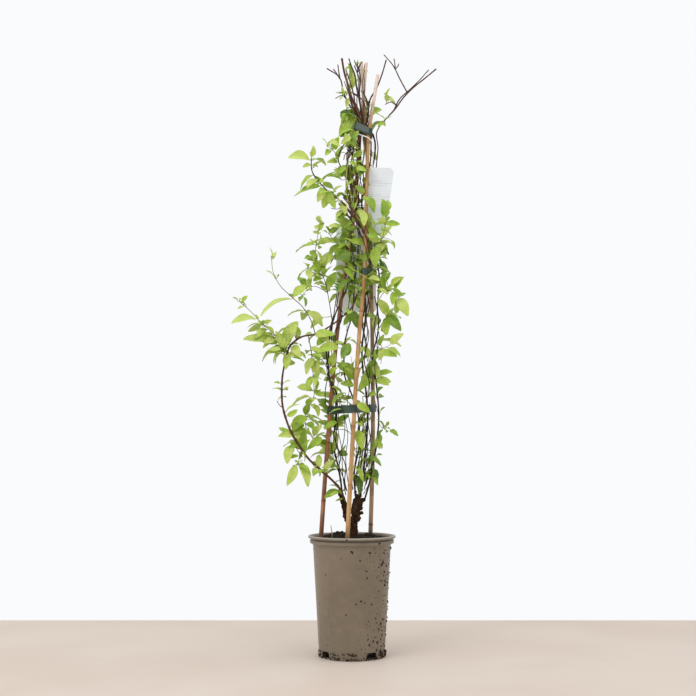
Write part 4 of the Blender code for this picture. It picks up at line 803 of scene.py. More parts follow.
# Leafy stems: honeysuckle twines up through the canes from the crown, each stem with its side shoots.
# Old wood is red-brown and a little glossy, young shoots go from grey-brown to a hairy green.
# Leaves are given by where a blade starts and where its tip is, as (x, z, x, z) seen from the front.
STEMS = {
    "stem_arc": {
        "stem": [(-27, -18, 328), (-41, -29, 342), (-59, -37, 358), (-79, -41, 376), (-95, -44, 396),
          (-107, -46, 416), (-119, -47, 436), (-127, -47, 458), (-133, -46, 480), (-135, -45, 502),
          (-135, -43, 532), (-132, -41, 552), (-128, -40, 572), (-125, -38, 588), (-119, -36, 600),
          (-111, -35, 608), (-99, -33, 616), (-85, -31, 619), (-71, -29, 622), (-57, -27, 629),
          (-43, -24, 638), (-27, -21, 650), (-15, -19, 660), (-3, -18, 672), (5, -16, 684), (11, -13, 704),
          (17, -11, 722), (31, -17, 738), (35, -20, 752), (35, -14, 775), (31, -13, 802), (21, -12, 828),
          (-3, -10, 862), (-21, -13, 886), (-37, -17, 898), (-54, -20, 905), (-63, -22, 923), (-75, -23, 938),
          (-82, -24, 952), (-80, -25, 970)],
        "radii": (2.3, 1.0),
        "shoots": (
          ([(-71, -29, 622), (-77, -31, 638), (-81, -34, 652), (-91, -38, 668), (-101, -41, 680),
            (-115, -44, 692), (-131, -46, 706), (-141, -48, 718), (-147, -49, 730), (-153, -49, 742),
            (-158, -48, 758), (-156, -47, 768)], 1.2),
          ([(-128, -40, 572), (-133, -43, 590), (-138, -45, 604), (-149, -48, 620), (-161, -50, 630),
            (-171, -52, 638), (-183, -54, 652), (-195, -55, 664), (-209, -56, 676), (-218, -56, 684)], 1.2),
          ([(-85, -31, 619), (-81, -27, 600), (-77, -26, 572), (-76, -26, 540), (-72, -27, 510),
            (-80, -30, 486), (-92, -32, 464), (-88, -31, 440), (-76, -29, 420)], 1.1),
          ([(-95, -44, 396), (-101, -50, 384), (-103, -53, 370)], 1.0),
        ),
        "leaves": (
          (-156, 768, -158, 786), (-152, 768, -146, 782), (-147, 730, -163, 742), (-145, 730, -141, 736),
          (-115, 692, -172, 664), (-112, 694, -92, 718), (-92, 668, -122, 660), (-88, 664, -60, 640),
          (-218, 684, -228, 690), (-212, 682, -203, 694), (-208, 676, -218, 670), (-208, 680, -216, 684),
          (-184, 652, -226, 646), (-190, 656, -180, 650), (-170, 640, -156, 646), (-170, 634, -180, 640),
          (-146, 610, -205, 614), (-148, 616, -168, 620), (-150, 620, -162, 634), (-136, 604, -108, 642),
          (-132, 594, -118, 618), (-136, 602, -150, 594), (-142, 598, -158, 588), (-138, 594, -172, 574),
          (-136, 586, -150, 568), (-124, 584, -128, 556), (-114, 600, -102, 578), (-118, 596, -92, 576),
          (-110, 610, -92, 606), (-120, 604, -98, 600), (-78, 590, -50, 582), (-74, 574, -88, 548),
          (-72, 570, -66, 544), (-76, 540, -84, 516), (-74, 538, -68, 516), (-72, 512, -57, 502),
          (-78, 512, -104, 520), (-84, 500, -118, 482), (-84, 486, -90, 466), (-90, 462, -112, 436),
          (-86, 462, -54, 450), (-88, 442, -94, 396), (-76, 424, -62, 444), (-72, 620, -38, 622),
          (-64, 622, -46, 606), (-134, 500, -142, 494), (-134, 526, -120, 530), (-134, 514, -152, 516),
          (-132, 514, -122, 518), (-112, 424, -138, 440), (-106, 416, -104, 432), (-98, 398, -118, 416),
          (-96, 398, -90, 378), (-112, 406, -124, 376), (-104, 368, -122, 334), (-102, 368, -84, 334),
          (-100, 374, -110, 378), (-80, 378, -44, 396), (-70, 366, -74, 350), (-52, 352, -38, 378),
          (-60, 360, -62, 348), (-30, 332, -48, 322), (-22, 320, -50, 308), (-16, 308, -32, 294),
          (-2, 668, 10, 640), (10, 704, -14, 712), (-80, 972, -76, 990), (-82, 966, -120, 968),
          (-82, 956, -95, 950), (-78, 950, -56, 960), (-74, 938, -100, 914), (-66, 926, -86, 910),
          (-62, 916, -110, 900), (-60, 922, -30, 940), (-56, 908, -66, 884), (-50, 902, -34, 872),
          (-44, 900, -56, 876), (-38, 898, -22, 912), (-26, 890, -38, 878), (-20, 886, -12, 862),
          (24, 826, 34, 860), (6, 852, 26, 836), (33, 792, 56, 800), (33, 780, 64, 752),
        ),
    },
    "stem_left": {
        "stem": [(-21, 7, 330), (-24, 6, 350), (-29, 2, 374), (-34, -2, 394), (-35, -4, 432), (-30, -9, 458),
          (-29, -11, 490), (-31, -21, 510), (-40, -27, 528), (-46, -25, 552), (-43, -16, 622), (-38, -3, 645),
          (-33, 3, 664), (-23, 4, 686), (-11, 6, 712), (-5, 8, 756), (-12, 10, 792), (0, 11, 836),
          (-2, 13, 872), (-2, 14, 916), (-12, 11, 942), (-23, 5, 960), (-27, 1, 976), (-18, -2, 998),
          (-4, -3, 1012), (8, -2, 1027), (12, 0, 1046)],
        "radii": (1.9, 0.9),
        "shoots": (
          ([(-38, -3, 645), (-42, -8, 672), (-48, -14, 706), (-57, -20, 740), (-67, -24, 762),
            (-71, -26, 790), (-66, -27, 820), (-61, -27, 842)], 1.1),
          ([(-57, -20, 740), (-72, -24, 742), (-88, -27, 752)], 0.9),
          ([(-48, -14, 706), (-66, -19, 716), (-84, -23, 714), (-98, -26, 698)], 0.9),
          ([(-45, -26, 552), (-52, -24, 566), (-60, -22, 574)], 0.8),
          ([(-12, 10, 792), (-24, 6, 800), (-38, 2, 812), (-46, -1, 824)], 0.8),
          ([(-27, 1, 976), (-38, -4, 990), (-50, -8, 998)], 0.8),
          ([(-24, 6, 350), (-36, 9, 380), (-41, 8, 420), (-39, 6, 460), (-35, 4, 500), (-41, 2, 540)], 0.9),
          ([(-22, 7, 336), (-25, 15, 370), (-29, 18, 420), (-32, 16, 470), (-28, 13, 520), (-22, 12, 566)],
            0.9),
        ),
        "leaves": (
          (-61, 840, -66, 856), (-64, 826, -56, 842), (-46, 824, -28, 834), (-44, 824, -50, 836),
          (-36, 812, -24, 824), (-70, 798, -108, 790), (-70, 796, -62, 816), (-66, 800, -26, 802),
          (-70, 786, -60, 764), (-70, 770, -80, 788), (-62, 756, -42, 784), (-88, 752, -104, 730),
          (-86, 752, -94, 764), (-74, 742, -66, 732), (-90, 712, -100, 736), (-98, 698, -108, 702),
          (-96, 698, -90, 680), (-84, 714, -80, 734), (-50, 712, -34, 744), (-48, 706, -60, 716),
          (-14, 706, -32, 722), (-8, 724, -4, 700), (-12, 790, -40, 766), (-10, 786, -4, 764),
          (-14, 796, -34, 800), (-6, 762, -24, 778), (-2, 836, -28, 850), (0, 842, -20, 812),
          (-2, 866, 12, 880), (0, 880, -18, 902), (-2, 912, 12, 938), (-6, 932, 4, 960), (-14, 944, -34, 956),
          (-20, 958, -12, 944), (-38, 990, -26, 1008), (-50, 998, -58, 1010), (-48, 996, -42, 1010),
          (-18, 998, -6, 1014), (-40, 560, -34, 584), (-60, 574, -84, 584), (-56, 570, -44, 594),
          (-44, 600, -20, 606), (-44, 620, -66, 604), (-38, 500, -66, 512), (-36, 470, -62, 462),
          (-40, 450, -62, 446), (-38, 430, -32, 396), (-40, 424, -46, 440), (-26, 360, -46, 352),
          (-22, 338, -34, 330), (-2, 980, 18, 974),
        ),
    },
    "stem_middle": {
        "stem": [(5, -9, 336), (4, -10, 356), (8, -11, 378), (14, -12, 402), (14, -14, 452), (8, -14, 482),
          (0, -13, 503), (-6, -12, 520), (-14, -10, 540), (-15, -9, 602), (-8, -6, 632), (0, -2, 662),
          (4, 2, 702), (8, 2, 752), (12, 0, 792), (14, -3, 832), (13, -10, 872), (14, -11, 902),
          (6, -13, 952), (0, -13, 984), (-6, -14, 998)],
        "radii": (1.7, 0.9),
        "shoots": (
          ([(-14, -10, 540), (-16, -18, 560), (-14, -24, 578)], 0.8),
          ([(0, -13, 503), (-12, -14, 500), (-24, -16, 494)], 0.8),
          ([(4, -10, 350), (7, -17, 378), (10, -20, 410), (12, -21, 450), (11, -20, 480), (5, -21, 512),
            (3, -22, 548), (-2, -20, 580)], 0.9),
          ([(8, 2, 752), (0, -4, 772), (-4, -8, 800), (-2, -12, 836)], 0.8),
        ),
        "leaves": (
          (-26, 602, 2, 560), (-14, 578, -6, 602), (-12, 566, 8, 536), (-16, 545, -4, 526),
          (-14, 600, -4, 616), (-2, 612, 10, 602), (-24, 494, -40, 478), (-22, 496, -14, 504),
          (-2, 500, 8, 486), (-4, 484, -20, 500), (10, 452, 0, 430), (8, 456, 28, 420), (10, 400, 24, 412),
          (6, 366, 20, 340), (6, 350, 14, 316), (6, 338, 18, 326), (0, 660, -14, 644), (4, 660, 12, 642),
          (2, 700, 16, 680), (6, 740, -6, 722), (12, 800, 2, 818), (14, 812, 30, 818), (14, 840, 32, 872),
          (12, 850, 30, 836), (12, 880, 26, 892), (14, 900, 30, 912), (10, 930, 32, 950), (8, 940, -6, 962),
          (4, 960, 16, 936), (2, 976, 20, 984), (0, 984, 14, 990), (-4, 996, 10, 1022), (-6, 996, -12, 1018),
          (-2, 990, 8, 1000),
        ),
    },
    "stem_tall": {
        "stem": [(21, 4, 334), (23, 5, 354), (26, 7, 392), (30, 9, 432), (31, 10, 466), (29, 8, 502),
          (25, 5, 532), (21, 3, 562), (20, 2, 602), (24, 4, 632), (27, 6, 662), (27, 4, 692), (23, 0, 720),
          (24, -4, 742), (32, -4, 758), (38, 0, 772), (34, -3, 790), (30, -2, 815), (25, -2, 842),
          (20, 0, 872), (22, 0, 912), (34, -3, 954), (38, -2, 978), (38, 4, 994), (38, 10, 1014),
          (35, 15, 1038), (26, 19, 1052), (11, 17, 1074), (4, 10, 1086), (-3, 3, 1110), (-12, -1, 1134),
          (-17, -4, 1158), (-20, -6, 1175)],
        "radii": (2.0, 1.3),
        "shoots": (
          ([(35, 15, 1038), (24, 27, 1056), (11, 27, 1070), (0, 21, 1080), (-11, 14, 1096), (-17, 9, 1112),
            (-23, 4, 1136), (-36, 2, 1150), (-50, 0, 1156)], 1.2),
          ([(-23, 4, 1136), (-31, 5, 1148), (-37, 7, 1157)], 0.9),
          ([(-23, 4, 1136), (-26, 2, 1150), (-28, 0, 1164)], 0.9),
          ([(35, 15, 1038), (34, 17, 1054), (33, 16, 1072), (34, 15, 1090), (44, 14, 1110), (54, 14, 1128),
            (60, 12, 1146), (65, 10, 1160), (69, 8, 1176)], 1.2),
          ([(34, 15, 1090), (26, 22, 1096), (13, 21, 1104), (1, 15, 1110)], 1.0),
          ([(13, 21, 1104), (15, 22, 1120), (16, 24, 1136), (13, 22, 1154), (5, 20, 1168)], 1.0),
          ([(13, 22, 1154), (11, 20, 1166)], 0.9),
          ([(13, 22, 1154), (19, 26, 1164)], 0.9),
          ([(13, 21, 1104), (8, 17, 1122), (6, 14, 1138), (1, 12, 1154), (-5, 11, 1169)], 1.0),
          ([(-9, 16, 1093), (-16, 9, 1102), (-25, 6, 1103), (-33, 4, 1096)], 0.7),
          ([(23, 5, 354), (18, 12, 390), (21, 17, 440), (25, 16, 480), (33, 14, 520), (35, 12, 560),
            (28, 10, 600), (20, 11, 640), (17, 13, 680)], 0.9),
          ([(27, 5, 676), (20, 12, 706), (15, 16, 740), (13, 18, 780), (16, 18, 820), (10, 17, 862),
            (7, 16, 902)], 0.9),
        ),
        "leaves": (
          (-4, 1114, 2, 1142), (-10, 1132, -6, 1158), (-2, 1106, -18, 1104), (-6, 1098, -10, 1080),
          (-4, 1082, -20, 1066), (0, 1080, -18, 1062), (2, 1078, 10, 1044), (4, 1080, -10, 1052),
          (8, 1074, -22, 1050), (10, 1070, -24, 1034), (12, 1068, 2, 1026), (-14, 1104, -26, 1110),
          (36, 1062, 54, 1072), (34, 1072, 58, 1082), (40, 1034, 58, 1050), (38, 990, 48, 976),
          (36, 960, 20, 948), (34, 950, 50, 940), (22, 900, 8, 890), (22, 880, 36, 872), (22, 860, 44, 872),
          (28, 830, 44, 840), (34, 796, 50, 812), (38, 770, 56, 782), (30, 752, 16, 766), (24, 700, 38, 710),
          (26, 680, 10, 690), (20, 600, 32, 580), (20, 594, 30, 602), (22, 560, 10, 534), (24, 546, 14, 516),
          (30, 500, 44, 512), (30, 460, 18, 446), (30, 440, 16, 412), (26, 400, 12, 388), (24, 380, 12, 352),
          (26, 372, 40, 382), (22, 350, 8, 330),
        ),
    },
    "stem_right": {
        "stem": [(32, 13, 320), (36, 15, 342), (41, 18, 366), (49, 24, 412), (53, 26, 452), (52, 26, 492),
          (46, 20, 542), (40, 17, 572), (45, 15, 602), (53, 18, 632), (52, 15, 662), (50, 10, 692),
          (55, 7, 722), (52, 8, 756), (46, 8, 794), (45, 6, 822), (44, 4, 862), (45, 3, 902), (48, 1, 950),
          (52, -1, 1000), (50, -3, 1030), (66, -7, 1050), (83, -8, 1068), (97, -8, 1088), (109, -7, 1102),
          (123, -6, 1116), (137, -6, 1128), (153, -6, 1140), (168, -7, 1153)],
        "radii": (1.8, 0.9),
        "shoots": (
          ([(83, -8, 1068), (89, -5, 1080), (99, -2, 1100), (109, 1, 1109), (120, 3, 1117), (131, 4, 1130),
            (145, 5, 1141), (154, 6, 1155)], 0.9),
          ([(89, -5, 1080), (77, -4, 1087), (66, -4, 1082)], 0.8),
          ([(109, 1, 1109), (103, 3, 1120), (97, 4, 1133), (91, 5, 1148), (88, 6, 1156), (77, 8, 1171),
            (64, 10, 1187)], 0.9),
          ([(88, 6, 1156), (86, 4, 1167), (84, 3, 1177)], 0.8),
          ([(88, 6, 1156), (92, 7, 1162), (94, 8, 1168)], 0.8),
          ([(46, 8, 794), (50, -8, 798), (57, -22, 804), (62, -36, 816), (65, -40, 840), (67, -41, 858)],
            0.9),
          ([(50, 10, 692), (60, 0, 704), (70, -8, 710), (84, -14, 708), (94, -17, 696)], 0.9),
          ([(53, 18, 632), (62, 12, 650), (72, 6, 664), (82, 2, 672)], 0.8),
          ([(53, 26, 452), (56, 12, 446), (60, 0, 440), (66, -8, 442), (74, -12, 440)], 0.8),
          ([(45, 15, 602), (54, 6, 596), (64, 0, 598), (74, -4, 602)], 0.8),
        ),
        "leaves": (
          (67, 1092, 74, 1110), (78, 1090, 66, 1108), (64, 1052, 46, 1060), (62, 1048, 52, 1036),
          (50, 1034, 64, 1024), (66, 858, 70, 882), (64, 850, 60, 880), (64, 842, 72, 852),
          (62, 836, 60, 850), (70, 838, 90, 836), (60, 812, 78, 834), (58, 806, 82, 798), (54, 800, 34, 810),
          (60, 806, 50, 784), (76, 806, 82, 790), (54, 764, 70, 794), (52, 762, 62, 752), (56, 770, 68, 756),
          (54, 724, 42, 752), (56, 722, 74, 748), (58, 730, 44, 736), (70, 712, 82, 724), (64, 708, 56, 732),
          (84, 710, 98, 732), (88, 705, 80, 684), (94, 696, 78, 712), (92, 694, 108, 662), (90, 692, 88, 668),
          (73, 711, 53, 703), (70, 664, 54, 690), (74, 664, 96, 660), (66, 656, 68, 626), (70, 662, 94, 634),
          (56, 640, 70, 628), (52, 660, 46, 636), (76, 602, 98, 622), (74, 600, 66, 618), (62, 598, 90, 578),
          (58, 598, 54, 576), (46, 572, 30, 538), (42, 566, 54, 542), (48, 536, 74, 532), (44, 538, 30, 536),
          (74, 440, 88, 426), (66, 442, 72, 452), (62, 440, 50, 456), (60, 436, 52, 420), (54, 430, 44, 400),
          (50, 412, 60, 400), (44, 384, 30, 366), (44, 386, 58, 388), (40, 362, 26, 336), (38, 352, 50, 332),
          (36, 342, 48, 346), (52, 470, 64, 480), (52, 500, 38, 516),
        ),
    },
}
# Thin old runners and dry twigs among the stems: the way of each, its radius, and how young it is, up to 1.
TWIGS = {
    "stem_arc": (
        ([(-21, -22, 886), (-3, -24, 862), (19, -31, 832), (29, -35, 806), (33, -33, 788), (36, -23, 766)],
          1.7, 0.26),
        ([(-26, -22, 880), (-8, -25, 854), (13, -31, 826), (24, -34, 800), (29, -34, 780), (33, -30, 762)],
          1.2, 0.14),
        ([(-17, -19, 893), (2, -24, 868), (23, -32, 838), (34, -34, 814), (39, -29, 794), (38, -20, 776)],
          1.5, 0.34),
        ([(-12, -18, 936), (-9, -18, 902), (-3, -20, 872), (8, -25, 846), (17, -31, 820)], 1.1, 0.4),
        ([(-41, -16, 872), (-33, -16, 870), (-13, -14, 872)], 0.7, 0.3),
        ([(-107, -46, 416), (-106, -44, 400), (-95, -41, 384)], 0.8, 0.3),
        ([(-135, -45, 480), (-141, -49, 486), (-144, -50, 492)], 0.9, 0.2),
    ),
    "stem_left": (
        ([(-35, -4, 440), (-32, -14, 470), (-34, -24, 505), (-47, -27, 540), (-49, -18, 590), (-45, -8, 630)],
          1.0, 0.0),
        ([(-45, -25, 552), (-52, -28, 562), (-59, -30, 572)], 0.7, 0.1),
        ([(-45, -25, 552), (-50, -31, 564), (-51, -33, 570)], 0.6, 0.1),
        ([(-44, -22, 556), (-42, -30, 562), (-41, -33, 566)], 0.6, 0.1),
        ([(-31, -2, 380), (-20, -12, 400), (-14, -18, 432), (-16, -20, 470), (-26, -20, 500)], 0.9, 0.0),
        ([(-2, 13, 930), (2, -8, 905), (1, -15, 878), (-2, -16, 846), (0, -15, 800), (5, -14, 770)], 1.3,
          0.1),
        ([(6, 0, 926), (10, -12, 896), (7, -14, 868), (9, -17, 840), (14, -24, 812)], 1.1, 0.3),
        ([(10, 5, 1028), (4, 2, 1012), (-4, -6, 990), (-8, -10, 962), (-5, -12, 930), (2, -14, 900),
          (6, -12, 874)], 1.5, 0.3),
        ([(14, 2, 1026), (6, -2, 1010), (2, -8, 985), (-1, -8, 955), (4, -8, 920), (3, -10, 890)], 1.8, 0.46),
        ([(18, -2, 1025), (16, -5, 1010), (14, -10, 985), (17, -9, 955), (12, -9, 925), (13, -12, 890),
          (9, -14, 868)], 1.7, 0.22),
        ([(25, -6, 1022), (24, -6, 1008), (25, -8, 985), (21, -6, 955), (25, -6, 920), (21, -8, 888)], 1.6,
          0.52),
        ([(-4, -4, 1000), (-10, -8, 975), (-6, -9, 945), (-8, -10, 915), (-2, -12, 885)], 1.5, 0.6),
        ([(-20, -4, 720), (-28, -8, 690), (-22, -12, 660), (-30, -14, 630), (-36, -14, 600)], 1.1, 0.0),
        ([(-36, -6, 660), (-44, -14, 630), (-50, -22, 590), (-46, -26, 550), (-52, -24, 510),
          (-50, -20, 480)], 1.2, 0.0),
        ([(-30, -14, 700), (-34, -16, 670), (-38, -18, 640), (-40, -22, 600), (-38, -26, 560),
          (-44, -26, 520)], 1.0, 0.0),
        ([(-7, -16, 965), (-11, -19, 934), (-11, -20, 906), (-5, -21, 871)], 1.3, 0.97),
        ([(-4, -19, 908), (-1, -20, 890), (4, -21, 871), (10, -24, 850)], 1.0, 0.9),
        ([(7, -20, 911), (3, -21, 890), (5, -22, 868), (2, -24, 847), (7, -25, 824)], 1.0, 0.93),
        ([(16, -10, 998), (2, -15, 984), (-9, -16, 965), (-10, -15, 944)], 1.6, 0.25),
        ([(14, -10, 1004), (0, -17, 990), (-13, -16, 979), (-16, -14, 968)], 1.2, 0.1),
        ([(14, 1, 1026), (12, -8, 1012), (9, -14, 990), (12, -14, 960), (7, -14, 930), (-2, -14, 905),
          (-7, -14, 880)], 1.4, 0.36),
        ([(19, -3, 1025), (18, -8, 1012), (17, -13, 985), (19, -12, 950), (15, -14, 915), (9, -16, 885)], 1.3,
          0.28),
        ([(23, -6, 1023), (22, -11, 1010), (24, -18, 990), (22, -18, 960), (23, -14, 930), (20, -13, 900)],
          1.1, 0.7),
        ([(0, -8, 990), (-8, -14, 984), (-2, -18, 994), (8, -17, 988), (12, -14, 998)], 1.1, 0.1),
        ([(2, -10, 1000), (-6, -15, 996), (-10, -16, 988), (-1, -19, 982), (9, -16, 980)], 1.0, 0.16),
        ([(-4, -8, 1004), (6, -16, 1000), (13, -16, 992), (6, -18, 984), (-6, -15, 978)], 0.9, 0.3),
        ([(0, 11, 836), (-3, 4, 818), (-2, 0, 798), (3, -4, 776)], 0.8, 0.1),
        ([(-27, 1, 976), (-22, 8, 990), (-12, 12, 1002), (2, 12, 1010)], 0.7, 0.1),
    ),
    "stem_middle": (
        ([(7, -9, 322), (5, -16, 352), (9, -22, 376), (15, -26, 400), (24, -24, 424)], 1.0, 0.0),
        ([(22, -14, 312), (28, -18, 322), (33, -18, 334)], 0.8, 0.0),
        ([(12, -18, 440), (19, -20, 456), (25, -19, 474)], 0.8, 0.0),
        ([(-4, -10, 318), (-9, -16, 346), (-12, -20, 384), (-8, -24, 424), (-14, -24, 462)], 0.9, 0.04),
        ([(16, -6, 322), (22, -14, 352), (34, -18, 380), (36, -16, 420), (30, -18, 452)], 0.9, 0.04),
        ([(14, -8, 318), (16, -14, 346), (24, -20, 372), (32, -22, 402)], 0.9, 0.04),
        ([(28, 6, 330), (34, 2, 352), (44, 0, 380), (50, 2, 410)], 0.9, 0.04),
        ([(18, -2, 322), (27, -8, 360), (30, -14, 410), (26, -14, 450), (21, -12, 500)], 1.0, 0.04),
        ([(24, 4, 320), (33, 4, 360), (37, 6, 410), (32, 2, 450), (35, 0, 490)], 0.9, 0.1),
        ([(2, -8, 320), (-3, -16, 360), (1, -24, 400), (-2, -28, 440), (-9, -28, 480), (-4, -26, 520)], 0.9,
          0.04),
        ([(-12, -4, 310), (-18, -10, 350), (-20, -16, 400), (-27, -20, 440), (-24, -24, 490)], 0.9, 0.1),
        ([(25, -18, 440), (19, -16, 458), (12, -15, 476)], 0.8, 0.0),
        ([(-13, -8, 322), (-17, -14, 344), (-25, -16, 366), (-22, -20, 384), (-31, -20, 410),
          (-28, -22, 450)], 1.2, 0.0),
        ([(-10, -8, 318), (-14, -16, 338), (-12, -20, 362), (-16, -22, 378), (-30, -22, 408),
          (-37, -20, 434)], 1.1, 0.04),
        ([(15, -4, 320), (8, -12, 342), (11, -18, 363), (17, -22, 401), (11, -24, 430), (20, -22, 462)], 1.3,
          0.0),
        ([(20, -2, 318), (18, -8, 345), (18, -14, 369), (22, -18, 401), (27, -18, 433), (32, -16, 468)], 1.4,
          0.04),
        ([(22, -18, 404), (17, -24, 424), (23, -24, 444), (12, -22, 464)], 1.0, 0.0),
        ([(-14, -16, 760), (-2, -36, 751), (16, -48, 738), (34, -50, 727), (48, -42, 714), (54, -30, 700)],
          0.9, 0.97),
        ([(13, -40, 722), (28, -46, 733), (42, -42, 744)], 0.8, 0.97),
        ([(39, -6, 576), (30, -16, 558), (21, -20, 542), (13, -22, 516)], 0.8, 0.9),
        ([(30, -22, 704), (34, -20, 676), (28, -24, 650), (33, -26, 622), (29, -28, 596)], 1.3, 0.2),
        ([(-16, -16, 706), (-24, -18, 680), (-20, -22, 652), (-31, -24, 626), (-33, -24, 600)], 1.2, 0.1),
        ([(8, 2, 752), (2, 8, 730), (-4, 10, 700), (-8, 6, 664), (-10, 0, 630)], 0.9, 0.0),
        ([(14, -3, 832), (18, -8, 812), (16, -12, 790), (12, -10, 770)], 0.8, 0.1),
    ),
    "stem_tall": (
        ([(26, 7, 392), (36, 2, 420), (38, -2, 450), (32, -4, 480), (26, -4, 510)], 0.9, 0.0),
        ([(26, -10, 690), (24, -20, 667), (20, -27, 642), (28, -26, 602), (24, -26, 570), (34, -14, 530),
          (32, -10, 500)], 1.5, 0.04),
        ([(30, -2, 716), (32, -6, 690), (28, -8, 660), (31, -6, 630), (27, -4, 600), (31, -2, 570)], 1.2,
          0.0),
        ([(45, 6, 700), (50, 4, 670), (44, 2, 640), (50, 2, 600), (45, 2, 560), (50, 6, 520)], 1.1, 0.04),
        ([(20, 2, 602), (12, 6, 632), (14, 10, 662), (22, 12, 690), (29, 10, 704)], 0.9, 0.1),
        ([(24, -4, 742), (30, -14, 756), (38, -14, 768), (37, -10, 786), (30, -8, 792)], 0.7, 0.92),
        ([(38, 4, 994), (38, 6, 980), (36, 3, 962), (32, 0, 948)], 0.8, 0.0),
        ([(-17, 9, 1112), (-24, 3, 1106), (-32, 2, 1108)], 0.7, 0.2),
        ([(22, -5, 1041), (20, -10, 1056), (14, -14, 1092), (9, -14, 1116), (6, -15, 1138), (-1, -16, 1156),
          (-6, -17, 1171)], 2.0, 0.12),
        ([(24, -6, 1040), (18, -15, 1070), (15, -16, 1100), (17, -16, 1130), (14, -16, 1152),
          (20, -16, 1164)], 1.8, 0.06),
        ([(14, -16, 1150), (8, -16, 1158), (5, -17, 1168)], 1.1, 0.06),
        ([(15, -16, 1146), (11, -18, 1160), (12, -18, 1168)], 1.0, 0.06),
        ([(19, -3, 1043), (8, -13, 1070), (-2, -14, 1096), (-8, -14, 1120)], 1.5, 0.32),
        ([(26, -8, 1040), (24, -14, 1076), (25, -15, 1110), (24, -14, 1146), (26, -14, 1160)], 1.3, 0.5),
        ([(20, -4, 1042), (14, -12, 1058), (4, -16, 1084), (-4, -15, 1104), (-9, -12, 1128)], 1.8, 0.4),
        ([(25, -7, 1040), (27, -14, 1056), (30, -16, 1070), (27, -17, 1094)], 1.7, 0.56),
        ([(18, -2, 1043), (10, -14, 1056), (2, -17, 1076), (-5, -17, 1098), (-14, -12, 1140)], 1.5, 0.1),
        ([(41, -2, 1024), (46, -5, 1006), (46, -4, 985), (43, -1, 965), (37, 2, 945)], 2.0, 0.0),
        ([(29, -10, 1039), (33, -18, 1066), (28, -18, 1092), (18, -18, 1106)], 1.5, 0.0),
        ([(21, -4, 1042), (12, -12, 1062), (10, -16, 1090), (13, -17, 1118), (11, -16, 1140)], 1.3, 0.44),
        ([(24, -6, 1041), (16, -13, 1064), (3, -18, 1088), (-9, -17, 1108), (-15, -14, 1126)], 1.2, 0.36),
        ([(16, -2, 1043), (6, -12, 1060), (-2, -15, 1082), (-7, -16, 1106), (-11, -15, 1128),
          (-10, -14, 1146)], 1.4, 0.5),
        ([(23, -6, 1041), (21, -12, 1066), (24, -16, 1092), (21, -17, 1122), (25, -16, 1148)], 1.2, 0.62),
        ([(28, -9, 1040), (30, -13, 1062), (22, -18, 1084), (9, -19, 1098), (-2, -18, 1102)], 1.2, 0.2),
        ([(17, -1, 1044), (7, -14, 1066), (4, -17, 1096), (-4, -14, 1126), (-12, -12, 1150)], 1.7, 0.16),
        ([(22, 0, 912), (16, 6, 934), (12, 10, 960), (14, 14, 990)], 0.8, 0.1),
    ),
    "stem_right": (
        ([(52, 26, 470), (44, 12, 500), (38, 6, 530), (34, 6, 560), (38, 12, 590)], 0.8, 0.0),
        ([(46, 8, 794), (52, 0, 800), (57, -6, 810), (58, -9, 816)], 0.7, 0.5),
        ([(53, 18, 632), (56, 14, 612), (60, 12, 590), (57, 14, 566)], 0.7, 0.2),
    ),
}
STEM_CLEARANCE = 1.2 * MM
STEM_SPACING = 29 * MM
SHOOT_TAPER = 0.7
BARE_TOP = 1060 * MM
LEAF_LENGTHS = (27, 37)
LEAF_WIDTHS = (0.56, 0.70)
SMALL_LEAF = 25
BASE_GROWTH = 0.04
TIP_GROWTH = 0.12
STALK = 4 * MM
STALK_RADII = (0.75, 0.45)
BLADE_THICKNESS = 0.7
BLADE_FOLD = 0.16
BLADE_CHECKS = {False: (0.30, 0.5, 0.06), True: (0.42, 0.5, 0.06)}
FACING = Vector((0.05, -0.62, 0.78))
LEAF_TURNS = 24
LEAF_SEEDS = (50, 51, 52, 53, 63)
MATCH = 0.06 * MM
WIDEST_LEAF = 24 * MM
FULL_LEAF = 0.54
SLENDER_LEAF = 0.4
SLENDER_ABOVE = 1090 * MM
SLENDER_BELOW = 400 * MM
FULL_BETWEEN = (-96 * MM, -20 * MM)
PARTNER_SHARE = 0.8
PARTNERS_ABOVE = 350 * MM
TRIES = 12
BARE_ARC = (-75 * MM, 620 * MM)
BARE_SPACE = 9 * MM
# Where the plant is bushy, as (x from, x to, z from, z to), the pairs of leaves there and their lengths.
BUSHY = (
    ((-83, -20, 706, 812), 14, (22, 34)), ((-40, 96, 706, 812), 54, (22, 36)),
    ((-66, 84, 806, 892), 24, (20, 32)), ((-60, 92, 612, 708), 4, (20, 32)),
    ((-50, 44, 892, 1030), 6, (18, 30)), ((-93, -13, 492, 612), 16, (22, 36)),
    ((-13, 94, 492, 612), 10, (20, 32)), ((-136, -13, 362, 494), 47, (22, 34)),
    ((-13, 66, 376, 480), 3, (16, 24)), ((-45, -5, 280, 340), 1, (9, 13)), ((0, 62, 350, 400), 6, (8, 14)),
    ((-212, -100, 574, 644), 22, (20, 32)), ((-18, 44, 1050, 1176), 7, (12, 20)),
)
BUSHY_MARGINS = (8 * MM, 12 * MM)
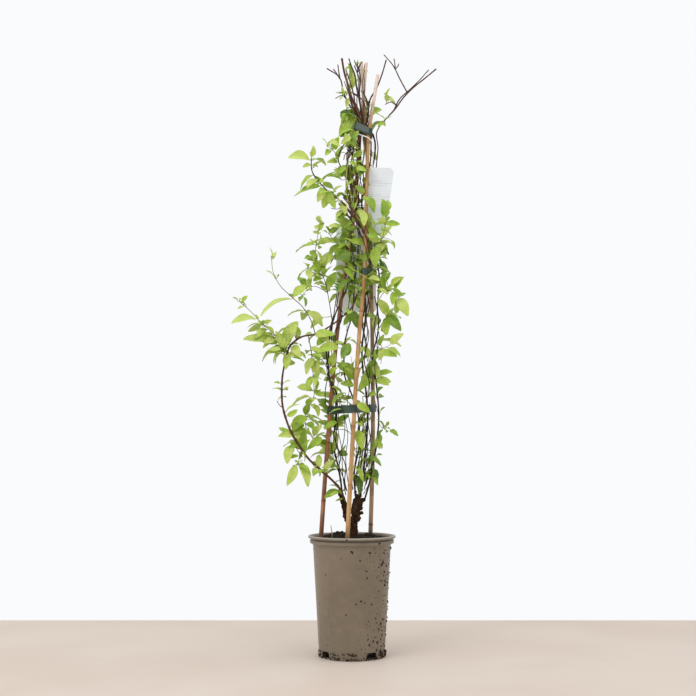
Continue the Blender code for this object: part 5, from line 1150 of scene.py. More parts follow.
# Leaves that hang in front of the canes and the ties, as (x, z, x, z) of base and tip.
FRONT_LEAVES = (
    (26, 900, 7, 917), (28, 948, 12, 930), (22, 892, 45, 862), (14, 872, 21, 840), (54, 806, 30, 816),
    (64, 800, 44, 768), (50, 794, 46, 752), (-5, 768, -36, 790), (-30, 800, -10, 772), (-14, 868, -32, 852),
    (-24, 838, -44, 820), (-6, 826, -24, 800), (36, 790, 22, 764), (8, 796, 24, 778), (2, 770, 20, 748),
    (-16, 752, 4, 730), (48, 752, 30, 732), (30, 730, 14, 712), (-10, 1000, 14, 986), (-2, 1012, -22, 994),
    (16, 1066, -6, 1052), (46, 836, 30, 850), (10, 850, -8, 836), (56, 826, 78, 812), (-34, 776, -52, 756),
    (-29, 326, -45, 330), (-26, 316, -43, 311), (-18, 303, -32, 299), (-20, 312, -30, 322),
    (-12, 508, -40, 486), (10, 486, 34, 470), (-4, 1030, -24, 1016), (20, 984, 2, 974), (16, 962, -4, 968),
    (-8, 958, -26, 940), (6, 928, -12, 914), (22, 934, 34, 918), (-8, 894, 6, 878), (30, 470, 14, 452),
    (-20, 476, -44, 470), (-30, 452, -54, 438), (-44, 470, -66, 486), (-50, 430, -72, 420),
    (20, 380, 34, 372), (22, 400, 34, 396), (-130, 595, -147, 627), (-130, 596, -120, 625),
    (-112, 600, -87, 613), (-142, 586, -151, 562), (-122, 578, -122, 553), (-114, 576, -92, 568),
    (-137, 592, -162, 590), (-142, 620, -118, 634), (-27, 831, -46, 834), (-7, 826, -25, 809),
    (-11, 802, -36, 784), (-2, 782, -33, 768), (-11, 766, 2, 742), (-3, 733, -25, 704), (-31, 717, -60, 740),
    (-25, 706, -45, 688), (31, 815, 53, 806), (37, 800, 57, 811), (44, 771, 66, 789), (42, 775, 55, 751),
    (57, 744, 73, 718), (44, 753, 75, 744), (77, 721, 96, 735), (51, 711, 71, 700), (33, 715, 15, 704),
    (-11, 713, 11, 717), (44, 731, 31, 720), (4, 804, -17, 811), (46, 837, 37, 817), (28, 840, 17, 828),
    (33, 797, 29, 815), (31, 828, 37, 842), (26, 889, 42, 861), (7, 871, 33, 873), (16, 866, 24, 833),
    (-14, 861, -29, 847), (54, 852, 73, 838), (33, 835, 52, 816), (-19, 833, -45, 836), (12, 1007, -14, 998),
    (21, 984, -2, 970), (-14, 939, -32, 958), (-19, 932, -57, 941), (9, 953, -5, 961), (9, 948, 29, 941),
    (7, 913, 26, 902), (-14, 906, -33, 897), (-42, 1005, -24, 991), (-5, 1069, -24, 1068),
    (17, 1045, -11, 1065), (2, 1030, -28, 1015), (0, 1112, -4, 1143), (-13, 1152, -1, 1157),
    (-5, 1102, -21, 1109), (24, 1149, 24, 1158), (35, 1060, 40, 1087), (-32, 433, -36, 395),
    (-24, 437, 0, 430), (10, 435, 21, 399), (-54, 390, -82, 385), (-50, 389, -36, 369), (-52, 359, -75, 350),
    (-59, 422, -87, 398), (32, 386, 58, 367), (45, 417, 56, 399), (-30, 562, 2, 543), (-4, 603, -20, 573),
    (-27, 597, -67, 587), (-57, 657, -82, 637), (38, 537, 13, 512), (53, 587, 88, 582), (53, 612, 98, 605),
    (33, 582, 13, 562), (3, 522, -22, 527), (43, 532, 73, 524),
)
# Places where leaves are painted darker, as painted shade: (x, z, radius) seen from the front.
SHADED_LEAF_SPOTS = (
    (16, 1046, 7), (18, 850, 14), (54, 776, 18), (-20, 778, 14), (-4, 1056, 16), (2, 735, 11), (-2, 940, 12),
)
SPOTTED_LEAF = (-31, 718, 14)
WOOD_RING = 3 * MM
LEAF_ROWS = 11
LEAF_COLUMNS = (-1, -0.72, -0.4, -0.12, 0.12, 0.4, 0.72, 1)
LEAF_HALF_THICKNESS = 0.16 * MM


def push_clear(path, radius, others, fixed):
    """Bends a stem's points off the canes and the other stems, leaving its first points alone."""
    for _ in range(5):
        for index in range(fixed, len(path)):
            for other_path, other_radius in others:
                need = radius + other_radius + STEM_CLEARANCE
                for a, b in zip(other_path, other_path[1:]):
                    if min(a.z, b.z) - need > path[index].z or max(a.z, b.z) + need < path[index].z:
                        continue
                    side = b - a
                    share = max(0.0, min(1.0, (path[index] - a).dot(side) / side.length_squared))
                    away = path[index] - (a + side * share)
                    if away.length < need:
                        if away.length < 1e-6:
                            away = Vector((0, 1, 0))
                        path[index] = path[index] + away.normalized() * (need - away.length)
    return path


def nearest_on(stems, x, z):
    """The point of the stems that lies nearest to a place seen from the front, and the stem's way there."""
    best = None
    for path, _ in stems:
        for a, b in zip(path, path[1:]):
            flat = Vector((b.x - a.x, b.z - a.z))
            span = max(flat.length_squared, 1e-12)
            share = max(0.0, min(1.0, ((x - a.x) * flat.x + (z - a.z) * flat.y) / span))
            place = a.lerp(b, share)
            distance = math.hypot(place.x - x, place.z - z)
            if best is None or distance < best[0]:
                best = (distance, place, (b - a).normalized())
    return best[1:]


obstacles = [(path, CANE_RADIUS * 1.16) for path in CANE_PATHS.values()]
grown = {}
for name, plan in STEMS.items():
    start, way, _ = foot_of(name)
    thick, thin = (value * MM for value in plan["radii"])
    path = curve_through([start, start + way * 9 * MM, *in_metres(plan["stem"])], STEM_SPACING)
    stems = [(push_clear(path, thick, obstacles, 2), (thick, thin))]
    for route, radius in plan["shoots"]:
        path = curve_through(in_metres(route), STEM_SPACING)
        path[0] = nearest_on(stems, path[0].x, path[0].z)[0]
        path = push_clear(path, radius * MM, obstacles, 1)
        stems.append((path, (radius * MM, radius * MM * SHOOT_TAPER)))
    grown[name] = stems
    obstacles += [(path, max(radii)) for path, radii in stems]


def corner_points(name):
    """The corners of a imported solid, to be looked up by place."""
    corners = [vertex.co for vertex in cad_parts[name].data.vertices]
    tree = kdtree.KDTree(len(corners))
    for index, corner in enumerate(corners):
        tree.insert(corner, index)
    tree.balance()
    return tree


def grown_out(x0, z0, x1, z1):
    """Where a leaf's blade starts and ends once it is full grown, seen from the front."""
    across = Vector((x1 - x0, z1 - z0))
    return Vector((x0, z0)) - across * BASE_GROWTH, Vector((x1, z1)) + across * TIP_GROWTH


def leaf_places(name, stems, leaves, rng):
    """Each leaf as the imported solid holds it: of its possible turns, the one whose corners are there."""
    solid = corner_points(name)
    found = []
    for leaf in leaves:
        (x0, z0), (x1, z1) = grown_out(*leaf)
        root, stem_way = nearest_on(stems, x0 * MM, z0 * MM)
        seen = math.hypot(x1 - x0, z1 - z0) * MM
        drawn = rng.uniform(*LEAF_LENGTHS) * MM
        small = seen < SMALL_LEAF * MM
        length = seen * 1.08 if small else max(seen * 1.03, drawn)
        depth = math.sqrt(length ** 2 - seen ** 2)
        side = rng.choice((-1, -1, 1))
        width = length * rng.uniform(*LEAF_WIDTHS)
        wobble = Vector([rng.uniform(-0.5, 0.5) for _ in range(3)])
        offset = rng.uniform(1.0, 4.0) * MM
        best = (1, None)
        for turn in range(LEAF_TURNS):
            toward = side if turn % 2 == 0 else -side
            share = 1.0 - 1.8 * (turn // 2) / LEAF_TURNS
            start = Vector((x0 * MM, root.y + toward * offset, z0 * MM))
            tip = Vector((x1 * MM, start.y + toward * depth * share, z1 * MM))
            if (start - root).length < STALK:
                out = (tip - root).normalized()
                out -= stem_way * out.dot(stem_way) * 0.7
                start = root + out.normalized() * STALK
            along = (tip - start).normalized()
            normal = FACING + wobble * (1 + 0.2 * turn)
            normal = normal - along * normal.dot(along)
            if normal.length < 0.2:
                normal = Vector((0, -1, 0)) - along * -along.y
            normal.normalize()
            across = along.cross(normal).normalized()
            up = across.cross(along)
            reach, spread, rise = BLADE_CHECKS[small]
            middle = start + (along * reach + up * rise) * (tip - start).length
            lift = up * (BLADE_FOLD * width + BLADE_THICKNESS * MM / 2)
            corners = [tip, middle - across * spread * width + lift, middle + across * spread * width + lift]
            score = sum(solid.find(corner)[2] < MATCH for corner in corners)
            if score > best[0]:
                best = (score, (root, start, tip, up, width))
        if best[1]:
            found.append(best[1])
    return found


def solid_tree(name):
    """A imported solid's faces, for tests of what a new leaf would run into."""
    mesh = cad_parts[name].data
    corners = [vertex.co for vertex in mesh.vertices]
    return BVHTree.FromPolygons(corners, [face.vertices for face in mesh.polygons])


solids = [solid_tree(name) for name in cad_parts]
new_blades = []
bare_side, bare_height = BARE_ARC
bare_arc = [place for place in grown["stem_arc"][0][0] if place.x < bare_side and place.z < bare_height]


def put_leaf(root, start, tip, width, rng):
    """A new leaf on a stem, if it keeps to the plant's box and misses every solid and every new leaf."""
    if any(tip[axis] < cad_box[0][axis] or tip[axis] > cad_box[1][axis] for axis in range(3)):
        return None
    along = tip - start
    out = along.normalized()
    normal = FACING + Vector([rng.uniform(-0.7, 0.7) for _ in range(3)])
    normal = (normal - out * normal.dot(out)).normalized()
    side = out.cross(normal).normalized() * width / 2
    rise = normal * width * BLADE_FOLD
    corners = [start, start + along * 0.3 - side + rise, start + along * 0.3 + side + rise,
               start + along * 0.7 - side * 0.8 + rise, start + along * 0.7 + side * 0.8 + rise, tip]
    middle = start.lerp(tip, 0.5)
    beside = nearest_on([(bare_arc, None)], middle.x, middle.z)[0]
    if math.hypot(beside.x - middle.x, beside.z - middle.z) < BARE_SPACE and middle.y < beside.y:
        return None
    blade = BVHTree.FromPolygons(corners, [(0, 2, 1), (1, 2, 4, 3), (3, 4, 5)])
    if any(blade.overlap(solid) for solid in solids):
        return None
    near = (along.length + LEAF_LENGTHS[1] * MM) / 2
    if any((middle - centre).length < near and blade.overlap(other) for centre, other in new_blades):
        return None
    new_blades.append((middle, blade))
    return root, start, tip, normal, width


def front_leaf(x0, z0, x1, z1, rng):
    """A leaf from the nearest stem, brought forward until it is clear, with its stem's name."""
    seen = math.hypot(x1 - x0, z1 - z0) * MM
    width = seen * rng.uniform(0.5, 0.62)
    found = []
    for name, stems in grown.items():
        root = nearest_on(stems, x0 * MM, z0 * MM)[0]
        found.append((math.hypot(root.x - x0 * MM, root.z - z0 * MM), name, root))
    _, name, root = min(found, key=lambda entry: entry[0])
    for step in range(TRIES):
        start = Vector((x0 * MM, root.y - (3 + 4 * step) * MM, z0 * MM))
        tip = Vector((x1 * MM, start.y - seen * rng.uniform(0.05, 0.4), z1 * MM))
        leaf = put_leaf(root, start, tip, width, rng)
        if leaf:
            return name, leaf
    return None


def second_leaves(leaves, rng):
    """The other leaf of each pair, which stands out across the stem, mostly to the front or the back."""
    made = []
    for root, start, tip, _, width in leaves:
        if rng.random() > PARTNER_SHARE or root.z < PARTNERS_ABOVE:
            continue
        size = rng.uniform(0.6, 0.95)
        for _ in range(TRIES):
            away = rng.choice((-1, 1, 1))
            first = tip - root
            out = Vector((-first.x * rng.uniform(0.1, 0.7), away * rng.uniform(0.3, 1.0) * first.length,
                          first.z * rng.uniform(0.0, 0.7))).normalized()
            base = root + out * STALK * rng.uniform(1.1, 1.5)
            leaf = put_leaf(root, base, base + out * (tip - start).length * size, width * size, rng)
            if leaf:
                made.append(leaf)
                break
    return made


def bushy_leaves(box, pairs, lengths, rng):
    """Pairs of leaves on the stretches of stem inside a box seen from the front, with their stem's name."""
    left, right, foot, top = (value * MM for value in box)
    beside, above = BUSHY_MARGINS
    stretches = []
    for name, stems in grown.items():
        for path, _ in stems:
            for a, b in zip(path, path[1:]):
                middle = a.lerp(b, 0.5)
                if left < middle.x < right and foot < middle.z < top:
                    stretches.append((name, a, b))
    made = []
    for _ in range(pairs):
        for _ in range(TRIES):
            name, a, b = rng.choice(stretches)
            root = a.lerp(b, rng.random())
            stem_way = (b - a).normalized()
            turn = rng.uniform(0, math.tau)
            across = stem_way.orthogonal().normalized()
            across = across * math.cos(turn) + stem_way.cross(across) * math.sin(turn)
            length = rng.uniform(*lengths) * MM
            found = []
            for way in (across, -across):
                out = (way + stem_way * rng.uniform(0.0, 0.7) + Vector((0, -0.35, 0))).normalized()
                tip = root + out * (length + STALK)
                if left - beside < tip.x < right + beside and foot - above < tip.z < top + above:
                    start = root + out * STALK * rng.uniform(0.9, 1.3)
                    width = length * rng.uniform(0.46, 0.62)
                    leaf = put_leaf(root, start, start + out * length, width, rng)
                    if leaf:
                        found.append((name, leaf))
            if found:
                made += found
                break
    return made


leaf_sets = {}
for seed, (name, stems) in zip(LEAF_SEEDS, grown.items()):
    leaf_sets[name] = leaf_places(name, stems, STEMS[name]["leaves"], random.Random(seed))
rng = random.Random(70)
for places in FRONT_LEAVES:
    leaf = front_leaf(*places, rng)
    if leaf:
        leaf_sets[leaf[0]].append(leaf[1])
for box, pairs, lengths in BUSHY:
    for name, leaf in bushy_leaves(box, pairs, lengths, rng):
        leaf_sets[name].append(leaf)
for name, leaves in leaf_sets.items():
    leaves += second_leaves(leaves[:len(STEMS[name]["leaves"])], rng)


def fine_leaf(start, tip, normal, width, rng):
    """A blade with rounded base and drawn-out tip, folded at its rib, arched, and waved at its edge."""
    along = tip - start
    length = along.length
    along.normalize()
    across = along.cross(normal).normalized()
    up = across.cross(along)
    fullness = rng.uniform(0.54, 0.80)
    fold = BLADE_FOLD * rng.uniform(0.6, 1.15)
    arch = rng.uniform(0.055, 0.10)
    droop = rng.uniform(0.0, 0.15)
    sway = rng.uniform(-0.08, 0.08)
    twist = rng.uniform(-0.6, 0.6)
    waves = rng.uniform(1.4, 2.8)
    phases = (rng.uniform(0, math.tau), rng.uniform(0, math.tau))
    ripple = rng.uniform(0.015, 0.05)
    top = []
    marks = []
    margin = [1.0, 1.0]
    for row in range(1, LEAF_ROWS):
        t = 0.5 - 0.5 * math.cos(math.pi * row / LEAF_ROWS)
        half = 0.5 * width * math.sin(math.pi * t ** 0.78) ** fullness
        rise = (arch * math.sin(math.pi * t ** 0.9) - droop * t ** 3) * length
        middle = start + along * (t * length) + up * rise + across * (sway * length * math.sin(math.pi * t))
        lean = twist * t
        side_way = across * math.cos(lean) + up * math.sin(lean)
        over = up * math.cos(lean) - across * math.sin(lean)
        for s in LEAF_COLUMNS:
            wave = ripple * width * s * s * math.sin(math.tau * waves * t + phases[s > 0])
            lift = fold * width * abs(s) ** 1.4 * min(1.0, 2 * half / width * 1.1) + wave
            top.append(middle + side_way * (s * half) + over * lift)
            marks.append((t, s * half / (0.5 * width)))
            margin.append(abs(s))
    columns = len(LEAF_COLUMNS)
    rows = LEAF_ROWS - 1
    points = [start, start + along * length - up * droop * length] + top
    spans = [(0.0, 0.0), (1.0, 0.0)] + marks
    inner = {}
    for row in range(rows):
        for column in range(1, columns - 1):
            here = 2 + row * columns + column
            inner[(row, column)] = len(points)
            before = points[2 + max(row - 1, 0) * columns + column]
            after = points[2 + min(row + 1, rows - 1) * columns + column]
            face_way = (points[here + 1] - points[here - 1]).cross(after - before).normalized()
            points.append(points[here] - face_way * LEAF_HALF_THICKNESS)
            points[here] = points[here] + face_way * LEAF_HALF_THICKNESS
            spans.append(marks[row * columns + column])
            margin.append(abs(LEAF_COLUMNS[column]))

    def upper(row, column):
        return 2 + row * columns + column

    def lower(row, column):
        return inner.get((row, column), upper(row, column))

    faces = []
    for sheet, forward in ((upper, True), (lower, False)):
        for column in range(columns - 1):
            lines = [(sheet(row, column), sheet(row, column + 1)) for row in range(rows)]
            strip = [[0, lines[0][1], lines[0][0]], [1, lines[-1][0], lines[-1][1]]]
            strip += [[*first, *second[::-1]] for first, second in zip(lines, lines[1:])]
            faces += strip if forward else [face[::-1] for face in strip]
    marks = {"along": [t for t, _ in spans], "across": [s for _, s in spans], "margin": margin}
    return points, faces, {**marks, "under": [0.5, 0.5] + [0.0] * (rows * columns) + [1.0] * len(inner)}


def tone_and_light_of(place, rng):
    """How light a leaf is painted: yellow-green outside and at the top, where it is young and has painted
    light; darker among the canes, low down and at the shaded spots, as painted shade.
    """
    x = place.x / MM
    z = place.z / MM
    light = 0.8
    if abs(x - 12) < 36:
        light = 0.7
    if x < -60:
        light = 0.86 if z > 460 else 0.76
    if z > 1080:
        light = 0.9
    if z < 450 and x > -20 or z < 345 and x > -60:
        light = 0.60
    if any(math.hypot(x - middle, z - level) < reach for middle, level, reach in SHADED_LEAF_SPOTS):
        light = 0.38
    return min(1.0, max(0.05, light + 0.09 + rng.gauss(0, 0.19)))


def age_of(name, is_main, share, place):
    """How young the bark is: old and near black on the canes and at the bare top, red-brown on the arc."""
    if place.z > BARE_TOP:
        return 0.10 + 0.14 * share
    if is_main:
        return 0.30 - 0.10 * share if name == "stem_arc" else 0.02 + 0.18 * share
    return 0.28 + 0.62 * share


def shades(look, value, first, last, *others):
    """A colour out of a row of screen colours that runs from 0 to 1."""
    ramp = look.add("ShaderNodeValToRGB", {"Fac": value})
    stops = ramp.color_ramp.elements
    stops[0].color = (*srgb(*first), 1)
    stops[1].color = (*srgb(*last), 1)
    for at, shade in others:
        stops.new(at).color = (*srgb(*shade), 1)
    return ramp.outputs["Color"]


# Veins: a rib, side veins that curve to the tip, and a fine net between them.
veins = Effect("veins", {"Along": 0.0, "Across": 0.0}, ["Rib", "Side", "Net"])
along = veins.given["Along"]
out = veins.maths("ABSOLUTE", veins.given["Across"])
rib = veins.maths("SUBTRACT", veins.maths("MULTIPLY_ADD", along, -0.035, 0.06), out)
veins.give("Rib", veins.between(rib, 0.0, 0.03))
slant = times(veins, veins.maths("POWER", out, 1.35), 0.30)
count = times(veins, veins.maths("SUBTRACT", along, slant), 7.5)
apart = veins.maths("ABSOLUTE", veins.maths("SUBTRACT", veins.maths("FRACT", count), 0.5))
fade = veins.maths("SUBTRACT", 1.0, veins.between(out, 0.55, 0.95))
veins.give("Side", times(veins, veins.between(veins.maths("SUBTRACT", 0.09, apart), 0.0, 0.06), fade))
flat = {"X": along, "Y": times(veins, veins.given["Across"], 0.3)}
flat = {"Vector": veins.add("ShaderNodeCombineXYZ", flat).outputs[0], "Scale": 34.0}
net = veins.add("ShaderNodeTexVoronoi", flat, feature="DISTANCE_TO_EDGE").outputs["Distance"]
veins.give("Net", veins.maths("SUBTRACT", 1.0, veins.between(net, 0.0, 0.12)))

leaf_look = Finish("honeysuckle_leaf")
pattern = leaf_look.effect(veins, along=marked(leaf_look, "along"), across=marked(leaf_look, "across"))
clouds = leaf_look.clouds(scale=110.0)
blots = times(leaf_look, leaf_look.clouds(scale=420.0, low=0.52, high=0.60), marked(leaf_look, "spoilt"))
# The leaf's margin is painted darker: painted shade at its edge.
edge = leaf_look.between(marked(leaf_look, "margin"), 0.80, 1.0)
light = leaf_look.maths("SUBTRACT", marked(leaf_look, "tone"), 0.09)
light = added(leaf_look, light, (clouds, 0.18))
colour = shades(leaf_look, light, (40, 76, 20), (210, 226, 122), (0.3, (82, 122, 30)),
                (0.55, (134, 169, 46)), (0.8, (174, 204, 66)))
leaf_look.put("Base Color", coats(
    leaf_look, colour, (pattern["Net"], 0.14, (196, 214, 124)), (pattern["Side"], 0.34, (206, 220, 142)),
    (pattern["Rib"], 0.55, (208, 216, 138)), (marked(leaf_look, "under"), 0.40, (176, 202, 138)),
    (edge, 0.28, (66, 88, 26)), (blots, 0.75, (104, 84, 40))))
leaf_look.put("Roughness", added(leaf_look, 0.40, (clouds, 0.12)))
leaf_look.put("Subsurface Weight", 0.35)
leaf_look.put("Subsurface Radius", (0.5, 1.0, 0.2))
leaf_look.put("Subsurface Scale", 1.2 * MM)
leaf_look.put("Specular IOR Level", 0.38)
quilt = leaf_look.maths("MAXIMUM", pattern["Rib"], times(leaf_look, pattern["Side"], 0.6))
relief(leaf_look, (quilt, -0.25 * MM, 0.6), (pattern["Net"], -0.06 * MM, 0.5), (clouds, 0.4 * MM, 0.3))

wood_look = Finish("twining_wood")
strips = fibres_in(wood_look, scale=1100.0, squeeze=0.05)
patches = wood_look.clouds(scale=60.0, detail=4.0, low=0.38, high=0.66)
age = added(wood_look, marked(wood_look, "young"), (patches, 0.10))
colour = shades(wood_look, age, (22, 12, 8), (182, 198, 84), (0.12, (46, 21, 13)), (0.28, (92, 38, 20)),
                (0.55, (122, 88, 52)), (0.78, (154, 150, 76)))
wood_look.put("Base Color", coats(wood_look, colour, (strips["Amount"], 0.35, (40, 22, 16))))
wood_look.put("Roughness", added(wood_look, 0.34, (patches, 0.22)))
relief(wood_look, (strips["Height"], 0.25 * MM, 0.6))


def tapered(path, thick, thin):
    """The radii of a tube that thins evenly along a path, from its ends' in mm."""
    last = len(path) - 1
    return [(thick + (thin - thick) * index / last) * MM for index in range(last + 1)]


for number, (name, stems) in enumerate(grown.items()):
    rng = random.Random(400 + number)
    leaves = Shape("along", "across", "under", "margin", "tone", "spoilt")
    wood = Shape("grain", "young")
    for root, start, tip, up, width in leaf_sets[name]:
        low_down = start.z < SLENDER_BELOW and not FULL_BETWEEN[0] <= start.x <= FULL_BETWEEN[1]
        fullest = SLENDER_LEAF if low_down or start.z > SLENDER_ABOVE else FULL_LEAF
        slim = min(width * 0.9, (tip - start).length * fullest, WIDEST_LEAF)
        points, faces, marks = fine_leaf(start, tip, up, slim, rng)
        middle, level, reach = SPOTTED_LEAF
        spotted = math.hypot(start.x - middle * MM, start.z - level * MM) < reach * MM
        spoilt = 1.0 if spotted else rng.uniform(0, 0.14)
        leaves.take(points, faces, tone=tone_and_light_of(start, rng), spoilt=spoilt, **marks)
        bowed = root.lerp(start, 0.5) + (start - root).orthogonal() * 0.06
        stalk = curve_through([root, bowed, start, start + (tip - start).normalized() * 1.5 * MM], 1.5 * MM)
        points, faces, grain = tube(stalk, tapered(stalk, *STALK_RADII), 6)
        wood.take(points, faces, grain=grain, young=0.92)
    for route, radius, age in TWIGS[name]:
        path = push_clear(curve_through(in_metres(route), 8 * MM), radius * MM, obstacles[:3], 1)
        fine = curve_through(path, WOOD_RING)
        sizes = []
        for step, place in enumerate(fine):
            uneven = 0.15 * noise.noise(place / (7 * MM))
            sizes.append(radius * MM * (1 - 0.35 * step / len(fine) + uneven))
        points, faces, grain = tube(fine, sizes, 7)
        wood.take(points, faces, grain=grain, young=age)
    roots = [leaf[0] for leaf in leaf_sets[name]]
    for index, (path, (thick, thin)) in enumerate(stems):
        fine = curve_through(path, WOOD_RING)
        last = len(fine) - 1
        sizes = []
        ages = []
        for step, place in enumerate(fine):
            share = step / last
            near = min(((place - root).length for root in roots), default=1.0)
            swell = 0.32 * math.exp(-(near / (2.6 * MM)) ** 2)
            if place.z > BARE_TOP:
                swell = 0.5 + 0.9 * math.exp(-((1 - share) * last * WOOD_RING / (3 * MM)) ** 2)
            uneven = 0.10 * noise.noise(place / (9 * MM))
            size = (thick + (thin - thick) * share) * (1.0 if index == 0 or place.z > BARE_TOP else 0.74)
            sizes.append(size * (1 + swell + uneven))
            ages.append(age_of(name, index == 0, share, place))
        sizes[-1] = sizes[-1] * 0.5
        sides = 10 if index == 0 else 8
        points, faces, grain = tube(fine, sizes, sides)
        wood.take(points, faces, grain=grain, young=[age for age in ages for _ in range(sides)])
    leaf_piece = leaves.piece(name.replace("stem_", "leaves_of_"), leaf_look, crease=70)
    wood_piece = wood.piece(name.replace("stem_", "wood_of_"), wood_look)
    for piece in (leaf_piece, wood_piece):
        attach(piece, "root")
        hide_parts(name)

# Dark green plastic ties: soft flat strips, each drawn round the canes it holds and closed on itself.
# The top one holds two thin stems too, which its strip passes a little nearer than a cane.
TIE_SIDES = 96
TIE_ACROSS = 6
TIE_THICKNESS = 1.0 * MM
TIE_REACH = CANE_RADIUS + 1.2 * MM
BUNDLE_DRAW = 0.13
# What each tie holds, the height of its middle, its width, and how far it falls for each step to the right.
TIES = {
    "tie_top": (("cane_left", "cane_front", "cane_right", "stem_left", "stem_tall"), 1031 * MM, 15 * MM, 0.5),
    "tie_low": (("cane_left", "cane_front", "cane_right"), 477 * MM, 15 * MM, -0.06),
    "tie_middle": (("cane_front", "stem_arc"), 745 * MM, 13 * MM, 0.05),
}


def stick_at(name, height):
    """The middle of a cane, or of a stem that is tied in with the canes."""
    if name in CANE_PATHS:
        return point_at_height(CANE_PATHS[name], height)
    stem = point_at_height(grown[name][0][0], height)
    if name == "stem_arc":
        return stem
    return stem.lerp(point_at_height(CANE_PATHS["cane_left"], height), BUNDLE_DRAW)


look = Finish("tie_strip")
haze = look.clouds(scale=38.0, low=0.35)
creases = look.clouds(scale=130.0, detail=2.0)
dust = crumbs_on(look, scale=520.0, density=0.05, size=0.25)["Mask"]
colour = look.mixed(haze, srgb(38, 56, 50), srgb(62, 84, 74))
look.put("Base Color", coats(look, colour, (dust, 0.35, (128, 118, 98))))
look.put("Roughness", added(look, 0.24, (haze, 0.2)))
relief(look, (creases, 0.5 * MM, 0.35))
for name, (sticks, height, width, fall) in TIES.items():
    centres = [stick_at(stick, height) for stick in sticks]
    middle = sum(centre.x for centre in centres) / len(centres)
    points = []
    for layer in (0, 1):
        for line in range(TIE_ACROSS + 1):
            share = line / TIE_ACROSS - 0.5
            for side in range(TIE_SIDES):
                way = round_z(1, math.tau * side / TIE_SIDES, 0)
                held = max(sticks, key=lambda stick: stick_at(stick, height).dot(way))
                level = stick_at(held, height) + way * TIE_REACH
                at = height + share * width * 0.98 - fall * (level.x - middle)
                uneven = noise.noise(Vector((way.x, way.y, share * 2)) * 2.2)
                curl = TIE_THICKNESS + 0.5 * MM * (2 * share) ** 4 + 0.35 * MM * uneven
                point = stick_at(held, at) + way * (TIE_REACH + curl * layer)
                points.append(Vector((point.x, point.y, at)))
    sheet = (TIE_ACROSS + 1) * TIE_SIDES
    top = TIE_ACROSS * TIE_SIDES
    faces = []
    for side in range(TIE_SIDES):
        after = (side + 1) % TIE_SIDES
        for under in range(0, top, TIE_SIDES):
            over = under + TIE_SIDES
            inside = [under + side, over + side, over + after, under + after]
            faces.append(inside)
            faces.append([sheet + inside[corner] for corner in (0, 3, 2, 1)])
        faces.append([side, after, sheet + after, sheet + side])
        faces.append([top + side, sheet + top + side, sheet + top + after, top + after])
    shape = Shape()
    shape.take(points, faces)
    strip = shape.piece(name.replace("tie_", "green_strip_"), look, crease=50)
    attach(strip, "root")
    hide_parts(name)

# White name card: thin coated card with one cut corner, bowed a little along its height.
# It is left blank but for plain grey rules, and hangs by a punched hole near its top left corner.
CARD_TOP_LEFT = Vector((35, -6.8, 955)) * MM
CARD_WIDTH = 49 * MM
CARD_HEIGHT = 132 * MM
CARD_CUT = 7 * MM
CARD_CORNER = 1.5 * MM
CARD_BOW = 1.2 * MM
CARD_LEAN = math.radians(8)
CARD_HOLE = Vector((6, 7)) * MM
CARD_HOLE_RADIUS = 2.6 * MM
CARD_HOLE_SIDES = 20
CARD_THICKNESS = 0.8 * MM
CARD_COLUMNS = 14
CARD_ROWS = 36
CARD_RULES = (27, 31, 36, 54, 58, 63, 67)
CARD_RULE_HALF = 0.5 * MM


def inset(v, height, radius, cut=0.0):
    """How far a card's side stands in at its rounded corners, or where its top corner is cut off."""
    if v < cut:
        return cut - v
    near = min(v, height - v)
    return radius - math.sqrt(max(0.0, radius ** 2 - (radius - near) ** 2)) if near < radius else 0.0


def card_shape(corner, across, down, width, height, columns, rows, radius, cut=0.0, bow=0.0):
    """A thin bent card with rounded corners, and its own width and height on each point."""
    points = []
    wide = []
    high = []
    for layer in (0, 1):
        for row in range(rows + 1):
            v = height * row / rows
            left = inset(v, height, radius)
            right = inset(v, height, radius, cut)
            bend = Vector((0, bow * math.sin(math.pi * v / height) + layer * CARD_THICKNESS, 0))
            for column in range(columns + 1):
                u = left + (width - left - right) * column / columns
                points.append(corner + across * u + down * v + bend)
                wide.append(u)
                high.append(v)
    count = (columns + 1) * (rows + 1)
    faces = []
    for row in range(rows):
        for column in range(columns):
            a = row * (columns + 1) + column
            b, c, d = a + 1, a + columns + 2, a + columns + 1
            faces += [[a, d, c, b], [count + a, count + b, count + c, count + d]]
    edge = list(range(columns))
    edge += [row * (columns + 1) + columns for row in range(rows)]
    edge += [rows * (columns + 1) + column for column in range(columns, 0, -1)]
    edge += [row * (columns + 1) for row in range(rows, 0, -1)]
    for first, second in zip(edge, edge[1:] + edge[:1]):
        faces.append([first, second, count + second, count + first])
    shape = Shape("wide", "high")
    shape.take(points, faces, wide=wide, high=high)
    return shape


def card_finish(name, face, rules, painted_glow):
    look = Finish(name)
    haze = look.clouds(scale=30.0)
    smuts = crumbs_on(look, scale=260.0, density=0.02, size=0.2)["Mask"]
    colour = look.mixed(haze, srgb(*face), srgb(*(value - 8 for value in face)))
    wide = marked(look, "wide")
    high = marked(look, "high")
    lines = 0.0
    for number, rule in enumerate(rules):
        off = look.maths("ABSOLUTE", look.maths("SUBTRACT", high, rule * MM))
        begun = look.maths("GREATER_THAN", wide, 6 * MM)
        going = look.maths("LESS_THAN", wide, (30 + 9 * (number * 5 % 3)) * MM)
        line = times(look, look.maths("LESS_THAN", off, CARD_RULE_HALF), begun, going)
        lines = look.maths("MAXIMUM", lines, line)
    if rules:
        colour = coats(look, colour, (lines, 0.4, (150, 154, 156)))
    colour = coats(look, colour, (smuts, 0.5, (120, 108, 90)))
    look.put("Base Color", colour)
    # The card also glows with its own colour: painted light.
    look.put("Emission Color", colour)
    look.put("Emission Strength", painted_glow)
    look.put("Roughness", added(look, 0.28, (haze, 0.12)))
    relief(look, (look.clouds(scale=700.0, detail=2.0), 0.03 * MM, 0.3))
    return look


